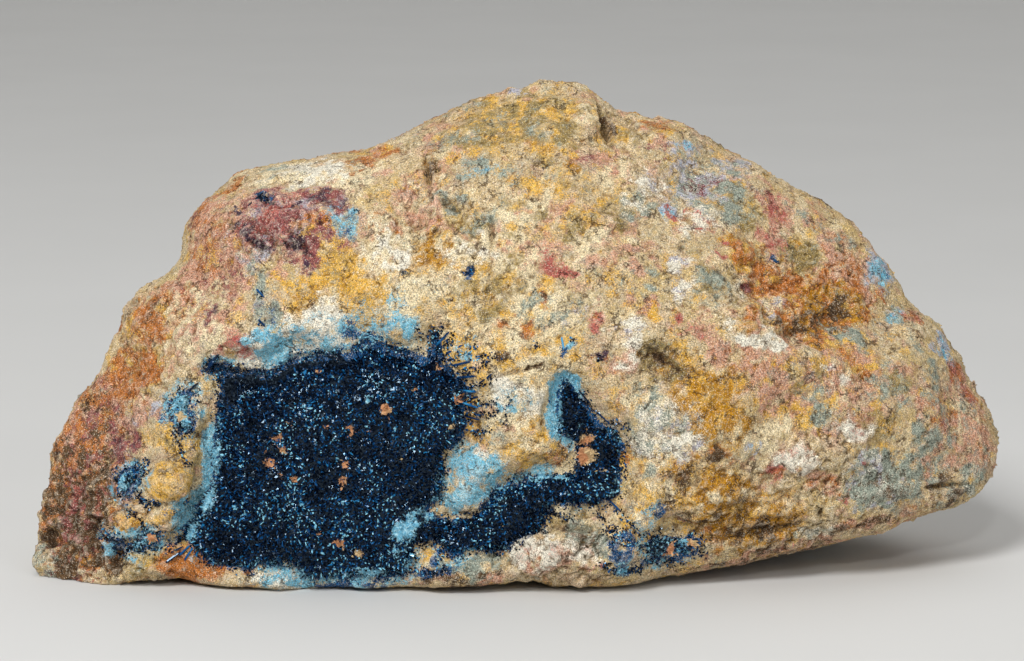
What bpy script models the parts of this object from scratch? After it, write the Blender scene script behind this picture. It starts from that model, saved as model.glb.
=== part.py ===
# Clinoclase specimen: a lump of altered host rock whose hollows hold crusts of dark blue crystals.
# Metres, +Z up. The crystal face looks towards -Y, the longest side runs along X, and the lump
# rests on a flat base at Z = 0, with the origin under the centre of its bounding box.

import math

import bmesh
import bpy
import numpy as np
from mathutils import Matrix, Vector, noise
from mathutils.bvhtree import BVHTree

MM = 0.001
ROUND_OFF = 1e-6
TINY = 1e-9

# The face is laid out in millimetres: u to the right and v up, as it shows from VIEW_DISTANCE
# away and VIEW_TILT above the horizontal. A depth is the millimetres along +Y.
VIEW_TILT = math.radians(10.0)
VIEW_DISTANCE = 341.0
VIEW_CENTRE = (-0.3, 26.5)
VIEW_AIM = np.array([-0.3, 0.0, 23.2])

# Outline of the lump on the face, clockwise from the lower left corner, a length of 96.5 mm
OUTLINE = (
    (-47.0, 0.3), (-47.7, 0.9), (-48.2, 3.4), (-47.9, 7.8), (-46.8, 11.1), (-46.3, 15.2), (-45.2, 17.5),
    (-43.0, 20.5), (-41.0, 22.6), (-40.4, 24.6), (-39.1, 28.5), (-36.9, 31.2), (-33.4, 32.8),
    (-32.6, 37.5), (-31.1, 39.3), (-29.6, 40.4), (-27.4, 42.0), (-24.3, 42.8), (-19.5, 43.7),
    (-14.9, 44.5), (-12.0, 45.6), (-9.9, 46.6), (-7.1, 48.0), (-2.3, 50.5), (0.5, 51.1), (3.5, 51.6),
    (6.6, 51.3), (8.0, 50.2), (10.3, 48.4), (12.4, 47.7), (16.7, 47.3), (20.5, 44.6), (23.1, 43.4),
    (27.5, 40.6), (31.2, 39.0), (33.5, 37.2), (38.3, 31.5), (39.3, 29.2), (42.5, 26.9), (44.4, 23.7),
    (45.0, 21.6), (47.2, 19.0), (48.4, 15.6), (48.1, 12.7), (45.8, 10.0), (43.7, 8.8), (40.7, 8.4),
    (36.0, 6.4), (28.0, 4.5), (20.9, 2.9), (13.0, 1.5), (9.5, 1.0), (0.5, 1.5), (-7.1, 1.1),
    (-15.0, 0.8), (-21.0, 0.3), (-24.3, 0.5), (-27.0, 1.0), (-30.8, 1.1), (-33.6, 1.9), (-37.3, 1.6),
    (-39.3, 1.2), (-41.7, 0.3), (-44.0, -0.1),
)
OUTLINE_CENTRE = (-1.5, 19.5)

# Wander of the broken edge: waves round the outline, reach, and the share kept low and at the sides
EDGE_WANDER = (6.0, 2.4, 0.3)
EDGE_FRACTAL = (0.8, 2.1, 3)

# Depth of the outline's edge by its direction from the centre in degrees, anticlockwise from +u
EDGE_DEPTHS = (
    (0, 3.0), (30, 5.0), (60, 5.0), (90, 3.0), (120, 5.0), (150, 3.0), (165, -1.0), (180, -3.0),
    (195, -6.0), (203, -10.0), (215, -14.0), (240, -15.0), (290, -15.0), (309, -14.0), (333, -11.0),
    (345, -8.0), (352, -2.0), (360, 3.0),
)

# The face: a bowl standing out FACE_DEPTH before the origin, cut by flat sides
FACE_DEPTH = -16.0
BOWL_TOP = (12.0, 0.0095)
BOWL_RIGHT = (10.0, 0.006)
BOWL_LEFT = (-20.0, 0.006)
# Each flat side: u, v, depth there, and how the depth grows to the right and upwards
FACE_SIDES = (
    (-38.0, 20.0, -11.0, -1.10, 0.35),
    (-22.0, 41.0, -9.0, -0.57, 2.60),
    (25.0, 37.0, -6.0, 0.45, 0.80),
    (43.0, 20.0, -8.0, 1.30, 0.30),
    (28.0, 5.5, -13.0, 0.65, -2.50),
    (5.0, 49.0, -4.0, 0.00, 2.20),
)
BACK_SIDES = (
    (0.0, 15.0, 19.0, 0.05, -0.12),
    (0.0, 20.0, 28.5, -0.10, -0.70),
    (0.0, 0.0, 36.0, -0.62, -0.10),
    (-10.0, 0.0, 27.0, 0.70, 0.00),
    (0.0, 5.0, 17.0, 0.00, 0.50),
)
FACE_EDGE = (6.0, 2.2)
BACK_EDGE = (5.0, 2.4)
FACE_BLEND = 1.0
BACK_BLEND = 2.2

# Lumps (negative) and hollows (positive) of the face: u, v, half width, half height, turn in
# degrees and how far the surface goes in
FACE_FORMS = (
    (9.2, 47.0, 0.9, 2.8, 20, 1.7),
    (12.8, 46.0, 2.4, 1.8, 0, -0.8),
    (27.5, 30.5, 7.0, 3.2, -31, 2.3),
    (24.2, 26.2, 4.2, 1.1, -24, -1.0),
    (31.5, 26.8, 2.8, 1.0, 10, 1.3),
    (24.5, 31.0, 1.6, 1.2, 0, -0.9),
    (28.0, 29.0, 1.8, 1.4, -20, -0.8),
    (32.5, 33.8, 3.6, 1.2, -35, -0.8),
    (-10.3, 39.0, 1.0, 5.0, 33, 1.3),
    (-6.0, 36.5, 0.9, 2.4, -35, 1.0),
    (-13.5, 38.5, 3.0, 3.0, 0, -1.0),
    (-27.0, 36.0, 3.2, 3.4, 15, -1.0),
    (-22.0, 33.5, 2.8, 1.5, 0, 0.9),
    (-35.0, 11.3, 2.4, 2.3, 0, -1.9),
    (-39.4, 6.6, 1.5, 1.5, 0, -1.2),
    (-34.8, 7.6, 1.9, 0.9, 10, -1.1),
    (-38.0, 15.5, 2.4, 2.0, 0, 0.8),
    (-46.4, 5.8, 1.3, 0.8, 20, 1.6),
    (-42.0, 6.8, 1.3, 1.3, 0, 1.7),
    (-40.0, 3.6, 0.8, 0.8, 0, 1.0),
    (-46.4, 2.2, 1.8, 1.6, 0, -0.8),
    (3.9, 4.0, 4.0, 2.2, -10, -1.9),
    (10.5, 4.0, 1.6, 1.2, 0, -0.9),
    (46.2, 14.5, 1.8, 3.8, 0, -0.8),
    (23.0, 7.4, 5.0, 1.3, 8, 1.0),
    (20.5, 17.5, 3.2, 2.6, 0, -0.8),
    (14.0, 23.5, 1.6, 2.4, -30, 0.7),
    (30.0, 14.5, 3.0, 1.6, -20, -0.8),
    (38.5, 12.0, 3.4, 1.2, 8, 0.8),
)

# Hollow under the main crust: its depth at a point, how that depth changes to the right and
# upwards, its least and most, and the width of its wall
HOLLOW_DEPTH = (-15.0, 12.0, 2.4, -0.05, 0.06)
HOLLOW_RANGE = (1.5, 3.4)
HOLLOW_WALL = 1.0
HOLLOW_MARGIN = 0.8
PATCH_DEPTH = 0.9

# Roughness of broken rock: size of the lumps and how far they stand out
ROUGHNESS = ((17.0, 0.9), (8.0, 0.8), (3.2, 0.42))
ROUGH_FRACTAL = (1.0, 2.1, 3)
BACK_ROUGHNESS = 1.3
ROUGH_EDGE = (0.86, 0.25)
ROCK_DETAIL = 7
ROCK_VOXEL = 0.55
ROCK_TRIANGLES = 5900
GROUND_SIZE = 300.0

# Outlines of the crusts on the face, clockwise
MAIN_CRUST = (
    (-30.8, 22.7), (-29.8, 23.4), (-28.6, 22.9), (-24.3, 22.4), (-22.3, 24.0), (-20.0, 24.5),
    (-16.7, 24.5), (-14.7, 26.0), (-13.4, 25.2), (-8.7, 24.2), (-8.4, 26.2), (-7.7, 26.4), (-6.7, 23.2),
    (-4.4, 20.5), (-5.1, 18.2), (-4.5, 17.1), (-5.6, 15.2), (-7.4, 14.1), (-6.9, 12.6), (-7.4, 9.6),
    (-8.7, 8.8), (-6.4, 7.6), (-3.7, 8.3), (-2.1, 10.9), (0.7, 11.7), (2.3, 12.3), (5.9, 12.1),
    (5.9, 13.7), (6.3, 15.1), (4.1, 16.5), (3.9, 18.8), (4.5, 21.6), (5.5, 21.6), (7.5, 18.8),
    (8.7, 17.2), (10.0, 16.9), (11.0, 15.3), (10.6, 13.7), (10.8, 10.5), (9.5, 9.3), (7.5, 8.9),
    (3.9, 9.1), (2.7, 6.6), (0.4, 5.4), (-0.8, 4.4), (-4.4, 4.4), (-6.4, 3.6), (-7.9, 5.4),
    (-9.7, 5.2), (-10.3, 3.2), (-11.0, 2.0), (-15.0, 1.7), (-21.0, 1.7), (-22.3, 3.3), (-27.0, 2.6),
    (-30.3, 3.1), (-32.6, 5.0), (-33.4, 6.3), (-32.3, 7.9), (-30.3, 11.6), (-30.3, 16.2),
    (-29.4, 19.9), (-29.6, 21.5),
)
SMALL_CRUSTS = {
    "clinoclase_patch_left_upper": (
        (-34.4, 19.6), (-33.2, 20.7), (-31.9, 20.5), (-32.5, 18.5), (-31.9, 16.6), (-33.4, 16.0),
        (-34.3, 17.4),
    ),
    "clinoclase_patch_left_middle": (
        (-39.7, 12.2), (-38.0, 13.2), (-36.9, 12.4), (-37.8, 10.6), (-39.5, 9.9),
    ),
    "clinoclase_patch_left_lower": (
        (-41.0, 6.6), (-38.8, 5.2), (-36.4, 6.6), (-35.4, 6.3), (-35.8, 5.0), (-38.0, 4.2), (-40.4, 4.6),
    ),
    "clinoclase_patch_lower_right": (
        (12.6, 5.2), (14.0, 6.2), (16.4, 6.0), (18.8, 5.8), (18.4, 4.2), (16.0, 3.4), (13.4, 3.6),
    ),
}

# Crusts: a sheet that lies CRUST_GAP off the rock, with a flat-faced blade on each cell
MAIN_CELL = 1.45
SMALL_CELL = 1.0
CELL_INSET = 0.04
CELL_SHIFT = 0.2
EDGE_SNAP = 0.7
EDGE_SMOOTHING = 0.25
CRUST_GAP = 0.45
LEAST_GAP = 0.33
LIFT_ROUNDS = 6
LIFT_SAMPLES = (0.0, 0.25, 0.5, 0.75, 1.0)
SIGHT_START = -60.0
WAY_OUT = "way_out"
WAY_ROUNDS = 3
OWN_WAY = 2.0
SHARED_WAY = 20.0
MAIN_SHARED_WAY = 3.0
SHEET_THICKNESS = 0.7
BLADE_HEIGHT = (0.4, 1.4)
BLADE_LENGTH = 0.74
BLADE_WIDTH = 0.4
BLADE_LEAN = 0.05
LOWEST_CRUST = 0.6

TAN = (0.42, 0.28, 0.15, 1.0)
NAVY = (0.012, 0.03, 0.085, 1.0)


def clear_scene():
    for leftover in list(bpy.data.objects):
        bpy.data.objects.remove(leftover, do_unlink=True)


def new_collection(name):
    made = bpy.data.collections.new(name)
    bpy.context.scene.collection.children.link(made)
    return made


def new_material(name, colour, roughness, metallic):
    made = bpy.data.materials.new(name)
    made.use_nodes = True
    shader = made.node_tree.nodes["Principled BSDF"]
    shader.inputs["Base Color"].default_value = colour
    shader.inputs["Roughness"].default_value = roughness
    shader.inputs["Metallic"].default_value = metallic
    return made


# The point in space, in millimetres, that shows at (u, v) on the face and lies at that depth
def point_at(u, v, depth):
    sight = np.array([0.0, math.cos(VIEW_TILT), -math.sin(VIEW_TILT)])
    rise = np.array([0.0, math.sin(VIEW_TILT), math.cos(VIEW_TILT)])
    across = np.array([1.0, 0.0, 0.0])
    eye = VIEW_AIM - VIEW_DISTANCE * sight
    aside = np.multiply.outer(u - VIEW_CENTRE[0], across) + np.multiply.outer(v - VIEW_CENTRE[1], rise)
    ray = sight + aside / VIEW_DISTANCE
    return eye + ray * ((depth - eye[1]) / ray[..., 1])[..., None]


# How far (u, v) is inside a closed outline, negative outside it
def inside_distance(u, v, outline):
    nearest = np.full(u.shape, np.inf)
    inside = np.zeros(u.shape, bool)
    corners = np.array(outline)
    for (u0, v0), (u1, v1) in zip(corners, np.roll(corners, -1, axis=0)):
        length = math.hypot(u1 - u0, v1 - v0)
        along = ((u - u0) * (u1 - u0) + (v - v0) * (v1 - v0)) / length**2
        along = np.clip(along, 0.0, 1.0)
        off = np.hypot(u - u0 - along * (u1 - u0), v - v0 - along * (v1 - v0))
        nearest = np.minimum(nearest, off)
        if v1 != v0:
            crossing = u0 + (v - v0) * (u1 - u0) / (v1 - v0)
            inside ^= ((v0 > v) != (v1 > v)) & (u < crossing)
    return np.where(inside, nearest, -nearest)


# Distance from the outline's centre to its edge in each direction
def edge_radius(direction):
    reach = np.zeros(direction.shape)
    corners = np.array(OUTLINE) - np.array(OUTLINE_CENTRE)
    way_u = np.cos(direction)
    way_v = np.sin(direction)
    for (u0, v0), (u1, v1) in zip(corners, np.roll(corners, -1, axis=0)):
        side_u = u1 - u0
        side_v = v1 - v0
        cross = way_u * side_v - way_v * side_u
        cross = np.where(np.abs(cross) < TINY, TINY, cross)
        along_side = (u0 * way_v - v0 * way_u) / cross
        along_way = (u0 * side_v - v0 * side_u) / cross
        meets = (along_side >= -ROUND_OFF) & (along_side <= 1.0 + ROUND_OFF) & (along_way > 0)
        reach = np.where(meets, np.maximum(reach, along_way), reach)
    return reach


# Depth of the outline's edge in each direction, with the wander of a broken edge
def edge_depth(direction):
    turns, depths = np.array(EDGE_DEPTHS).T
    waves, reach, least = EDGE_WANDER
    steady = np.interp(np.degrees(direction) % 360.0, turns, depths)
    places = np.stack([np.cos(direction), np.sin(direction), np.zeros(direction.shape)], axis=-1)
    wander = np.array([noise.fractal(Vector(place) * waves, *EDGE_FRACTAL) for place in places])
    upwards = np.clip(np.sin(direction), 0.0, 1.0)
    return steady + reach * wander * (least + (1.0 - least) * upwards)


def smooth_max(depths, blend):
    stack = np.array(depths)
    peak = stack.max(axis=0)
    return peak + blend * np.log(np.exp((stack - peak) / blend).sum(axis=0))


def side_depths(u, v, sides):
    return [depth + by_u * (u - at_u) + by_v * (v - at_v) for at_u, at_v, depth, by_u, by_v in sides]


def smooth_step(value):
    value = np.clip(value, 0.0, 1.0)
    return value * value * (3.0 - 2.0 * value)


def form_depth(u, v):
    total = np.zeros(u.shape)
    for at_u, at_v, half_width, half_height, turn, depth in FACE_FORMS:
        turn = math.radians(turn)
        along = (u - at_u) * math.cos(turn) + (v - at_v) * math.sin(turn)
        across = (v - at_v) * math.cos(turn) - (u - at_u) * math.sin(turn)
        total += depth * np.exp(-((along / half_width) ** 2) - (across / half_height) ** 2)
    return total


def hollow_depth(u, v):
    at_u, at_v, depth, by_u, by_v = HOLLOW_DEPTH
    deep = np.clip(depth + by_u * (u - at_u) + by_v * (v - at_v), *HOLLOW_RANGE)
    total = deep * hollow_share(u, v, MAIN_CRUST)
    for outline in SMALL_CRUSTS.values():
        total += PATCH_DEPTH * hollow_share(u, v, outline)
    return total


# 1 over a crust's outline and its margin, falling to 0 over the wall round it
def hollow_share(u, v, outline):
    inside = inside_distance(u, v, outline)
    return smooth_step((inside + HOLLOW_MARGIN + HOLLOW_WALL) / HOLLOW_WALL)


def face_depth(u, v):
    bowl = FACE_DEPTH + BOWL_TOP[1] * np.maximum(v - BOWL_TOP[0], 0.0) ** 2
    bowl += BOWL_RIGHT[1] * np.maximum(u - BOWL_RIGHT[0], 0.0) ** 2
    bowl += BOWL_LEFT[1] * np.minimum(u - BOWL_LEFT[0], 0.0) ** 2
    whole = smooth_max([bowl] + side_depths(u, v, FACE_SIDES), FACE_BLEND)
    return whole + form_depth(u, v) + hollow_depth(u, v)


def back_depth(u, v):
    sides = np.array(side_depths(u, v, BACK_SIDES))
    return -smooth_max(-sides, BACK_BLEND)


def edge_fall(share, edge):
    power, root = edge
    return np.maximum(1.0 - share**power, 0.0) ** (1.0 / root)


# Moves the points of a round ball onto the lump's face and back
def shape_rock(bm):
    ball = np.array([vertex.co for vertex in bm.verts])
    share = np.clip(np.hypot(ball[:, 0], ball[:, 2]), 0.0, 1.0)
    direction = np.arctan2(ball[:, 2], ball[:, 0])
    radius = share * edge_radius(direction)
    u = OUTLINE_CENTRE[0] + radius * np.cos(direction)
    v = OUTLINE_CENTRE[1] + radius * np.sin(direction)
    edge = edge_depth(direction)
    front = edge + (face_depth(u, v) - edge) * edge_fall(share, FACE_EDGE)
    back = edge + (back_depth(u, v) - edge) * edge_fall(share, BACK_EDGE)
    points = point_at(u, v, np.where(ball[:, 1] < 0.0, front, back))
    for vertex, point in zip(bm.verts, points):
        vertex.co = point
    return share, ball[:, 1] >= 0.0


# Roughness pushed along the surface's normals, held back at the outline
def roughen_rock(bm, share, is_back):
    bm.normal_update()
    start, least = ROUGH_EDGE
    hold = 1.0 - (1.0 - least) * smooth_step((share - start) / (1.0 - start))
    hold *= np.where(is_back, BACK_ROUGHNESS, 1.0)
    pushes = []
    for vertex in bm.verts:
        push = 0.0
        for size, height in ROUGHNESS:
            push += height * noise.fractal(vertex.co / size, *ROUGH_FRACTAL)
        pushes.append(vertex.normal * push)
    for vertex, push, held in zip(bm.verts, pushes, hold):
        vertex.co += push * float(held)


def mesh_object(name, bm, collection, material):
    mesh = bpy.data.meshes.new(name)
    bm.to_mesh(mesh)
    bm.free()
    mesh.materials.append(material)
    made = bpy.data.objects.new(name, mesh)
    collection.objects.link(made)
    return made


def make_ground_cutter(cutters):
    bm = bmesh.new()
    bmesh.ops.create_cube(bm, size=GROUND_SIZE * MM)
    bmesh.ops.translate(bm, verts=bm.verts, vec=(0.0, 0.0, -GROUND_SIZE / 2 * MM))
    cutter = mesh_object("ground_cutter", bm, cutters, new_material("cutter", TAN, 1.0, 0.0))
    cutter.hide_render = True
    cutter.display_type = "WIRE"
    return cutter


def make_host_rock(collection, material, cutter):
    bm = bmesh.new()
    bmesh.ops.create_icosphere(bm, subdivisions=ROCK_DETAIL, radius=1.0)
    share, is_back = shape_rock(bm)
    roughen_rock(bm, share, is_back)
    bmesh.ops.scale(bm, verts=bm.verts, vec=(MM, MM, MM))
    rock = mesh_object("host_rock", bm, collection, material)
    skin = rock.modifiers.new("even_skin", "REMESH")
    skin.mode = "VOXEL"
    skin.voxel_size = ROCK_VOXEL * MM
    full_count = 2 * len(evaluated_mesh(rock).polygons)
    thin = rock.modifiers.new("fewer_faces", "DECIMATE")
    thin.ratio = ROCK_TRIANGLES / full_count
    cut = rock.modifiers.new("flat_base", "BOOLEAN")
    cut.object = cutter
    cut.operation = "DIFFERENCE"
    cut.solver = "EXACT"
    return rock


def evaluated_tree(solid):
    bpy.context.view_layer.update()
    return BVHTree.FromObject(solid, bpy.context.evaluated_depsgraph_get())


def evaluated_mesh(solid):
    bpy.context.view_layer.update()
    return solid.evaluated_get(bpy.context.evaluated_depsgraph_get()).data


# A sheet of cells over the outline, its edge drawn onto the outline, with loose inner corners
def outline_cells(outline, cell, seed):
    corners = np.array(outline)
    low = corners.min(axis=0) - cell
    high = corners.max(axis=0) + cell
    counts = np.ceil((high - low) / cell).astype(int)
    bm = bmesh.new()
    bmesh.ops.create_grid(bm, x_segments=int(counts[0]), y_segments=int(counts[1]), size=0.5)
    middle = (low + high) / 2
    for vertex in bm.verts:
        vertex.co.x = middle[0] + vertex.co.x * counts[0] * cell
        vertex.co.y = middle[1] + vertex.co.y * counts[1] * cell
    outside = []
    for face in bm.faces:
        centre = face.calc_center_median()
        inside = inside_distance(np.array([centre.x]), np.array([centre.y]), outline)[0]
        if inside < CELL_INSET * cell:
            outside.append(face)
    bmesh.ops.delete(bm, geom=outside, context="FACES")
    keep_one_sheet(bm)
    random = np.random.default_rng(seed)
    edge_points = [vertex for vertex in bm.verts if vertex.is_boundary]
    for vertex in bm.verts:
        shift = random.uniform(-CELL_SHIFT, CELL_SHIFT, 2) * cell
        if vertex.is_boundary:
            u, v = nearest_on(outline, vertex.co.x, vertex.co.y)
            vertex.co.x += EDGE_SNAP * (u - vertex.co.x)
            vertex.co.y += EDGE_SNAP * (v - vertex.co.y)
        else:
            vertex.co.x += shift[0]
            vertex.co.y += shift[1]
    bmesh.ops.smooth_vert(
        bm, verts=edge_points, factor=EDGE_SMOOTHING, use_axis_x=True, use_axis_y=True
    )
    return bm


# Keeps the largest run of cells joined by their sides, so that the sheet is one piece
def keep_one_sheet(bm):
    waiting = set(bm.faces)
    largest = set()
    while waiting:
        start = waiting.pop()
        found = {start}
        border = [start]
        while border:
            for edge in border.pop().edges:
                for other in edge.link_faces:
                    if other in waiting:
                        waiting.discard(other)
                        found.add(other)
                        border.append(other)
        if len(found) > len(largest):
            largest = found
    bmesh.ops.delete(bm, geom=[face for face in bm.faces if face not in largest], context="FACES")
    split_corner_touches(bm)


# Two cells that meet only at a corner would make a pinched solid, so one of them goes
def split_corner_touches(bm):
    pinched = True
    while pinched:
        pinched = []
        for vertex in bm.verts:
            if len([edge for edge in vertex.link_edges if edge.is_boundary]) > 2:
                pinched.append(vertex.link_faces[0])
                break
        bmesh.ops.delete(bm, geom=pinched, context="FACES")


def nearest_on(outline, u, v):
    best = None
    corners = np.array(outline)
    for start, end in zip(corners, np.roll(corners, -1, axis=0)):
        way = end - start
        along = float(np.clip(np.dot((u, v) - start, way) / np.dot(way, way), 0.0, 1.0))
        point = start + along * way
        off = math.hypot(point[0] - u, point[1] - v)
        if best is None or off < best[0]:
            best = (off, point[0], point[1])
    return best[1], best[2]


# Where the sight line through (u, v) first meets the rock, or the rock's nearest point to it
def meet_rock(tree, u, v):
    near = Vector(point_at(np.array(u), np.array(v), np.array(SIGHT_START))) * MM
    far = Vector(point_at(np.array(u), np.array(v), np.array(FACE_DEPTH))) * MM
    place, normal, _, _ = tree.ray_cast(near, (far - near).normalized())
    if place is None:
        place, normal, _, _ = tree.find_nearest(far)
    return place, normal


# Lays the sheet off the rock; each corner keeps its way out, turned by shared_way to the common one
def lay_on_rock(bm, tree, shared_way):
    way_out = bm.verts.layers.float_vector.new(WAY_OUT)
    for vertex in bm.verts:
        vertex.co, vertex[way_out] = meet_rock(tree, vertex.co.x, vertex.co.y)
    shared = sum((vertex[way_out] for vertex in bm.verts), Vector()).normalized() * shared_way
    for _ in range(WAY_ROUNDS):
        smooth_ways(bm, way_out, shared)
    for vertex in bm.verts:
        vertex.co += vertex[way_out] * CRUST_GAP * MM
    for _ in range(LIFT_ROUNDS):
        lift_off_rock(bm, tree, way_out)


def smooth_ways(bm, way_out, shared):
    totals = []
    for vertex in bm.verts:
        total = vertex[way_out] * OWN_WAY + shared
        for edge in vertex.link_edges:
            total += edge.other_vert(vertex)[way_out]
        totals.append(total.normalized())
    for vertex, total in zip(bm.verts, totals):
        vertex[way_out] = total


# Height of a point over the rock, negative inside it
def height_over(tree, point):
    off = tree.find_nearest(point)[3]
    towards_eye = Vector((0.0, -math.cos(VIEW_TILT), math.sin(VIEW_TILT)))
    hit = tree.ray_cast(point, towards_eye)
    return -off if hit[0] is not None and hit[1].dot(towards_eye) > 0 else off


# Lifts the cells' corners until no sampled point of a cell is nearer the rock than the gap
def lift_off_rock(bm, tree, way_out):
    lifts = {vertex: 0.0 for vertex in bm.verts}
    for face in bm.faces:
        a, b, c, d = (vertex.co for vertex in face.verts)
        least = 0.0
        for s in LIFT_SAMPLES:
            for t in LIFT_SAMPLES:
                point = a.lerp(b, s).lerp(d.lerp(c, s), t)
                least = max(least, LEAST_GAP * MM - height_over(tree, point))
        for vertex in face.verts:
            lifts[vertex] = max(lifts[vertex], least)
    for vertex, lift in lifts.items():
        vertex.co += vertex[way_out] * min(lift, CRUST_GAP * MM)


# Thickens the sheet into a closed plate and returns its outer cells
def raise_sheet(bm):
    way_out = bm.verts.layers.float_vector[WAY_OUT]
    bm.normal_update()
    facing = sum(face.normal.dot(face.verts[0][way_out]) for face in bm.faces)
    if facing < 0:
        bmesh.ops.reverse_faces(bm, faces=bm.faces)
    for vertex in bm.verts:
        vertex.co.z = max(vertex.co.z, LOWEST_CRUST * MM)
    made = bmesh.ops.extrude_face_region(bm, geom=list(bm.faces), use_keep_orig=True)["geom"]
    for vertex in [item for item in made if isinstance(item, bmesh.types.BMVert)]:
        vertex.co += vertex[way_out] * SHEET_THICKNESS * MM
    return [item for item in made if isinstance(item, bmesh.types.BMFace)]


# A flat-topped blade on each cell of the upper sheet, with its own turn, height and lean
def grow_blades(bm, upper, cell, seed):
    random = np.random.default_rng(seed)
    way_out = bm.verts.layers.float_vector[WAY_OUT]
    tops = bmesh.ops.extrude_discrete_faces(bm, faces=upper)["faces"]
    for top in tops:
        way = sum((vertex[way_out] for vertex in top.verts), Vector()).normalized()
        centre = top.calc_center_median()
        turn = random.uniform(0.0, math.pi)
        height = random.uniform(*BLADE_HEIGHT) * MM
        lean = random.uniform(-BLADE_LEAN, BLADE_LEAN, 2) * cell * MM
        across = way.orthogonal().normalized()
        along = Matrix.Rotation(turn, 3, way) @ across
        beside = way.cross(along)
        for vertex in top.verts:
            off = vertex.co - centre
            flat = along * off.dot(along) * BLADE_LENGTH + beside * off.dot(beside) * BLADE_WIDTH
            shift = along * lean[0] + beside * lean[1] + way * height
            vertex.co = centre + flat + shift
            vertex.co.z = max(vertex.co.z, LOWEST_CRUST * MM)


def make_crust(name, outline, cell, shared_way, tree, collection, material):
    seed = len(outline)
    bm = outline_cells(outline, cell, seed)
    lay_on_rock(bm, tree, shared_way)
    grow_blades(bm, raise_sheet(bm), cell, seed)
    bmesh.ops.triangulate(bm, faces=bm.faces)
    bmesh.ops.recalc_face_normals(bm, faces=bm.faces)
    if bm.calc_volume(signed=True) < 0:
        bmesh.ops.reverse_faces(bm, faces=bm.faces)
    return mesh_object(name, bm, collection, material)


# Moves everything so that the origin lies under the centre of the specimen's bounding box
def centre_on_origin(parts, others, collection):
    corners = []
    for part in parts:
        corners += [vertex.co.copy() for vertex in evaluated_mesh(part).vertices]
    places = np.array(corners)
    middle = (places.min(axis=0) + places.max(axis=0)) / 2
    holder = bpy.data.objects.new("specimen", None)
    collection.objects.link(holder)
    for item in parts + others:
        item.parent = holder
    holder.location = (-middle[0], -middle[1], -places[:, 2].min())


def main():
    clear_scene()
    specimen = new_collection("clinoclase_specimen")
    cutters = new_collection("cutters")
    rock_material = new_material("altered_rock", TAN, 0.9, 0.0)
    crystal_material = new_material("clinoclase", NAVY, 0.2, 0.0)
    cutter = make_ground_cutter(cutters)
    rock = make_host_rock(specimen, rock_material, cutter)
    tree = evaluated_tree(rock)
    parts = [rock]
    main_crust = make_crust(
        "clinoclase_crust_main", MAIN_CRUST, MAIN_CELL, MAIN_SHARED_WAY, tree, specimen, crystal_material
    )
    parts.append(main_crust)
    for name, outline in SMALL_CRUSTS.items():
        parts.append(
            make_crust(name, outline, SMALL_CELL, SHARED_WAY, tree, specimen, crystal_material)
        )
    centre_on_origin(parts, [cutter], specimen)


main()
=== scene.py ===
import math

import bmesh
import bpy
import numpy as np
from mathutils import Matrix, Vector, noise
from mathutils.bvhtree import BVHTree


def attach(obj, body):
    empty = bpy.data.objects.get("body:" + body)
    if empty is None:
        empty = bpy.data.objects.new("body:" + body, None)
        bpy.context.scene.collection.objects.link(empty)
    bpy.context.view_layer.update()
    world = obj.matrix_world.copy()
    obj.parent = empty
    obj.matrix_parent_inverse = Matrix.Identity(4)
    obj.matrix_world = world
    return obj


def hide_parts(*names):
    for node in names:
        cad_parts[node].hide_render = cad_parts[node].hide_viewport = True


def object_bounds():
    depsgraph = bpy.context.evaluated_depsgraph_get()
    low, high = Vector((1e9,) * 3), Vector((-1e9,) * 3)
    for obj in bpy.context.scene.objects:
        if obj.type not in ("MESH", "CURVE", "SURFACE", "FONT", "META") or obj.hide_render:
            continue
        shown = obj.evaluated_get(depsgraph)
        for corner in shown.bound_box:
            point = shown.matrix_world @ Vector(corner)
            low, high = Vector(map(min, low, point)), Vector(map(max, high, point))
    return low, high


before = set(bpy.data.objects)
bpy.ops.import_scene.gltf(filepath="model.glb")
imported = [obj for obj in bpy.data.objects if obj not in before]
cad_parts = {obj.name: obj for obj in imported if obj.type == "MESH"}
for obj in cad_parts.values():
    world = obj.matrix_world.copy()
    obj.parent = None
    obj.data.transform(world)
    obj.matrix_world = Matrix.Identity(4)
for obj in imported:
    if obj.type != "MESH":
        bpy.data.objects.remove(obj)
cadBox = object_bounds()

mm = 0.001
noise.seed_set(5)  # without it the noise vectors follow the clock

# The crystal face is laid out in millimetres: u to the right and v up, as the camera sees it
faceView = {
    "tilt": 10.0,  # degrees above the horizon
    "distance": 341.0,
    "centre": (-0.3, 26.5),
    "aim": (-0.3, 0.0, 23.2),
    "originShift": (-0.49, -0.98, 0.0),  # from the lump's own layout to its resting place
    "lens": 120.0,
    "sensorWidth": 36.0,
}
tilt = math.radians(faceView["tilt"])
sight = np.array([0.0, math.cos(tilt), -math.sin(tilt)])
rise = np.array([0.0, math.sin(tilt), math.cos(tilt)])
across = np.array([1.0, 0.0, 0.0])
eye = np.array(faceView["aim"]) + faceView["originShift"] - faceView["distance"] * sight


# Direction from the eye through (u, v)
def faceRay(u, v):
    aside = (u - faceView["centre"][0]) * across + (v - faceView["centre"][1]) * rise
    return Vector(sight + aside / faceView["distance"]).normalized()


# Where points in metres show on the face
def faceCoords(points):
    off = points / mm - eye
    scale = faceView["distance"] / (off @ sight)
    return faceView["centre"][0] + (off @ across) * scale, faceView["centre"][1] + (off @ rise) * scale


# 0 at low and 1 at high, eased at both ends; low may be the larger one
def smoothStep(low, high, value):
    share = np.clip((value - low) / (high - low), 0.0, 1.0)
    return share * share * (3.0 - 2.0 * share)


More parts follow.
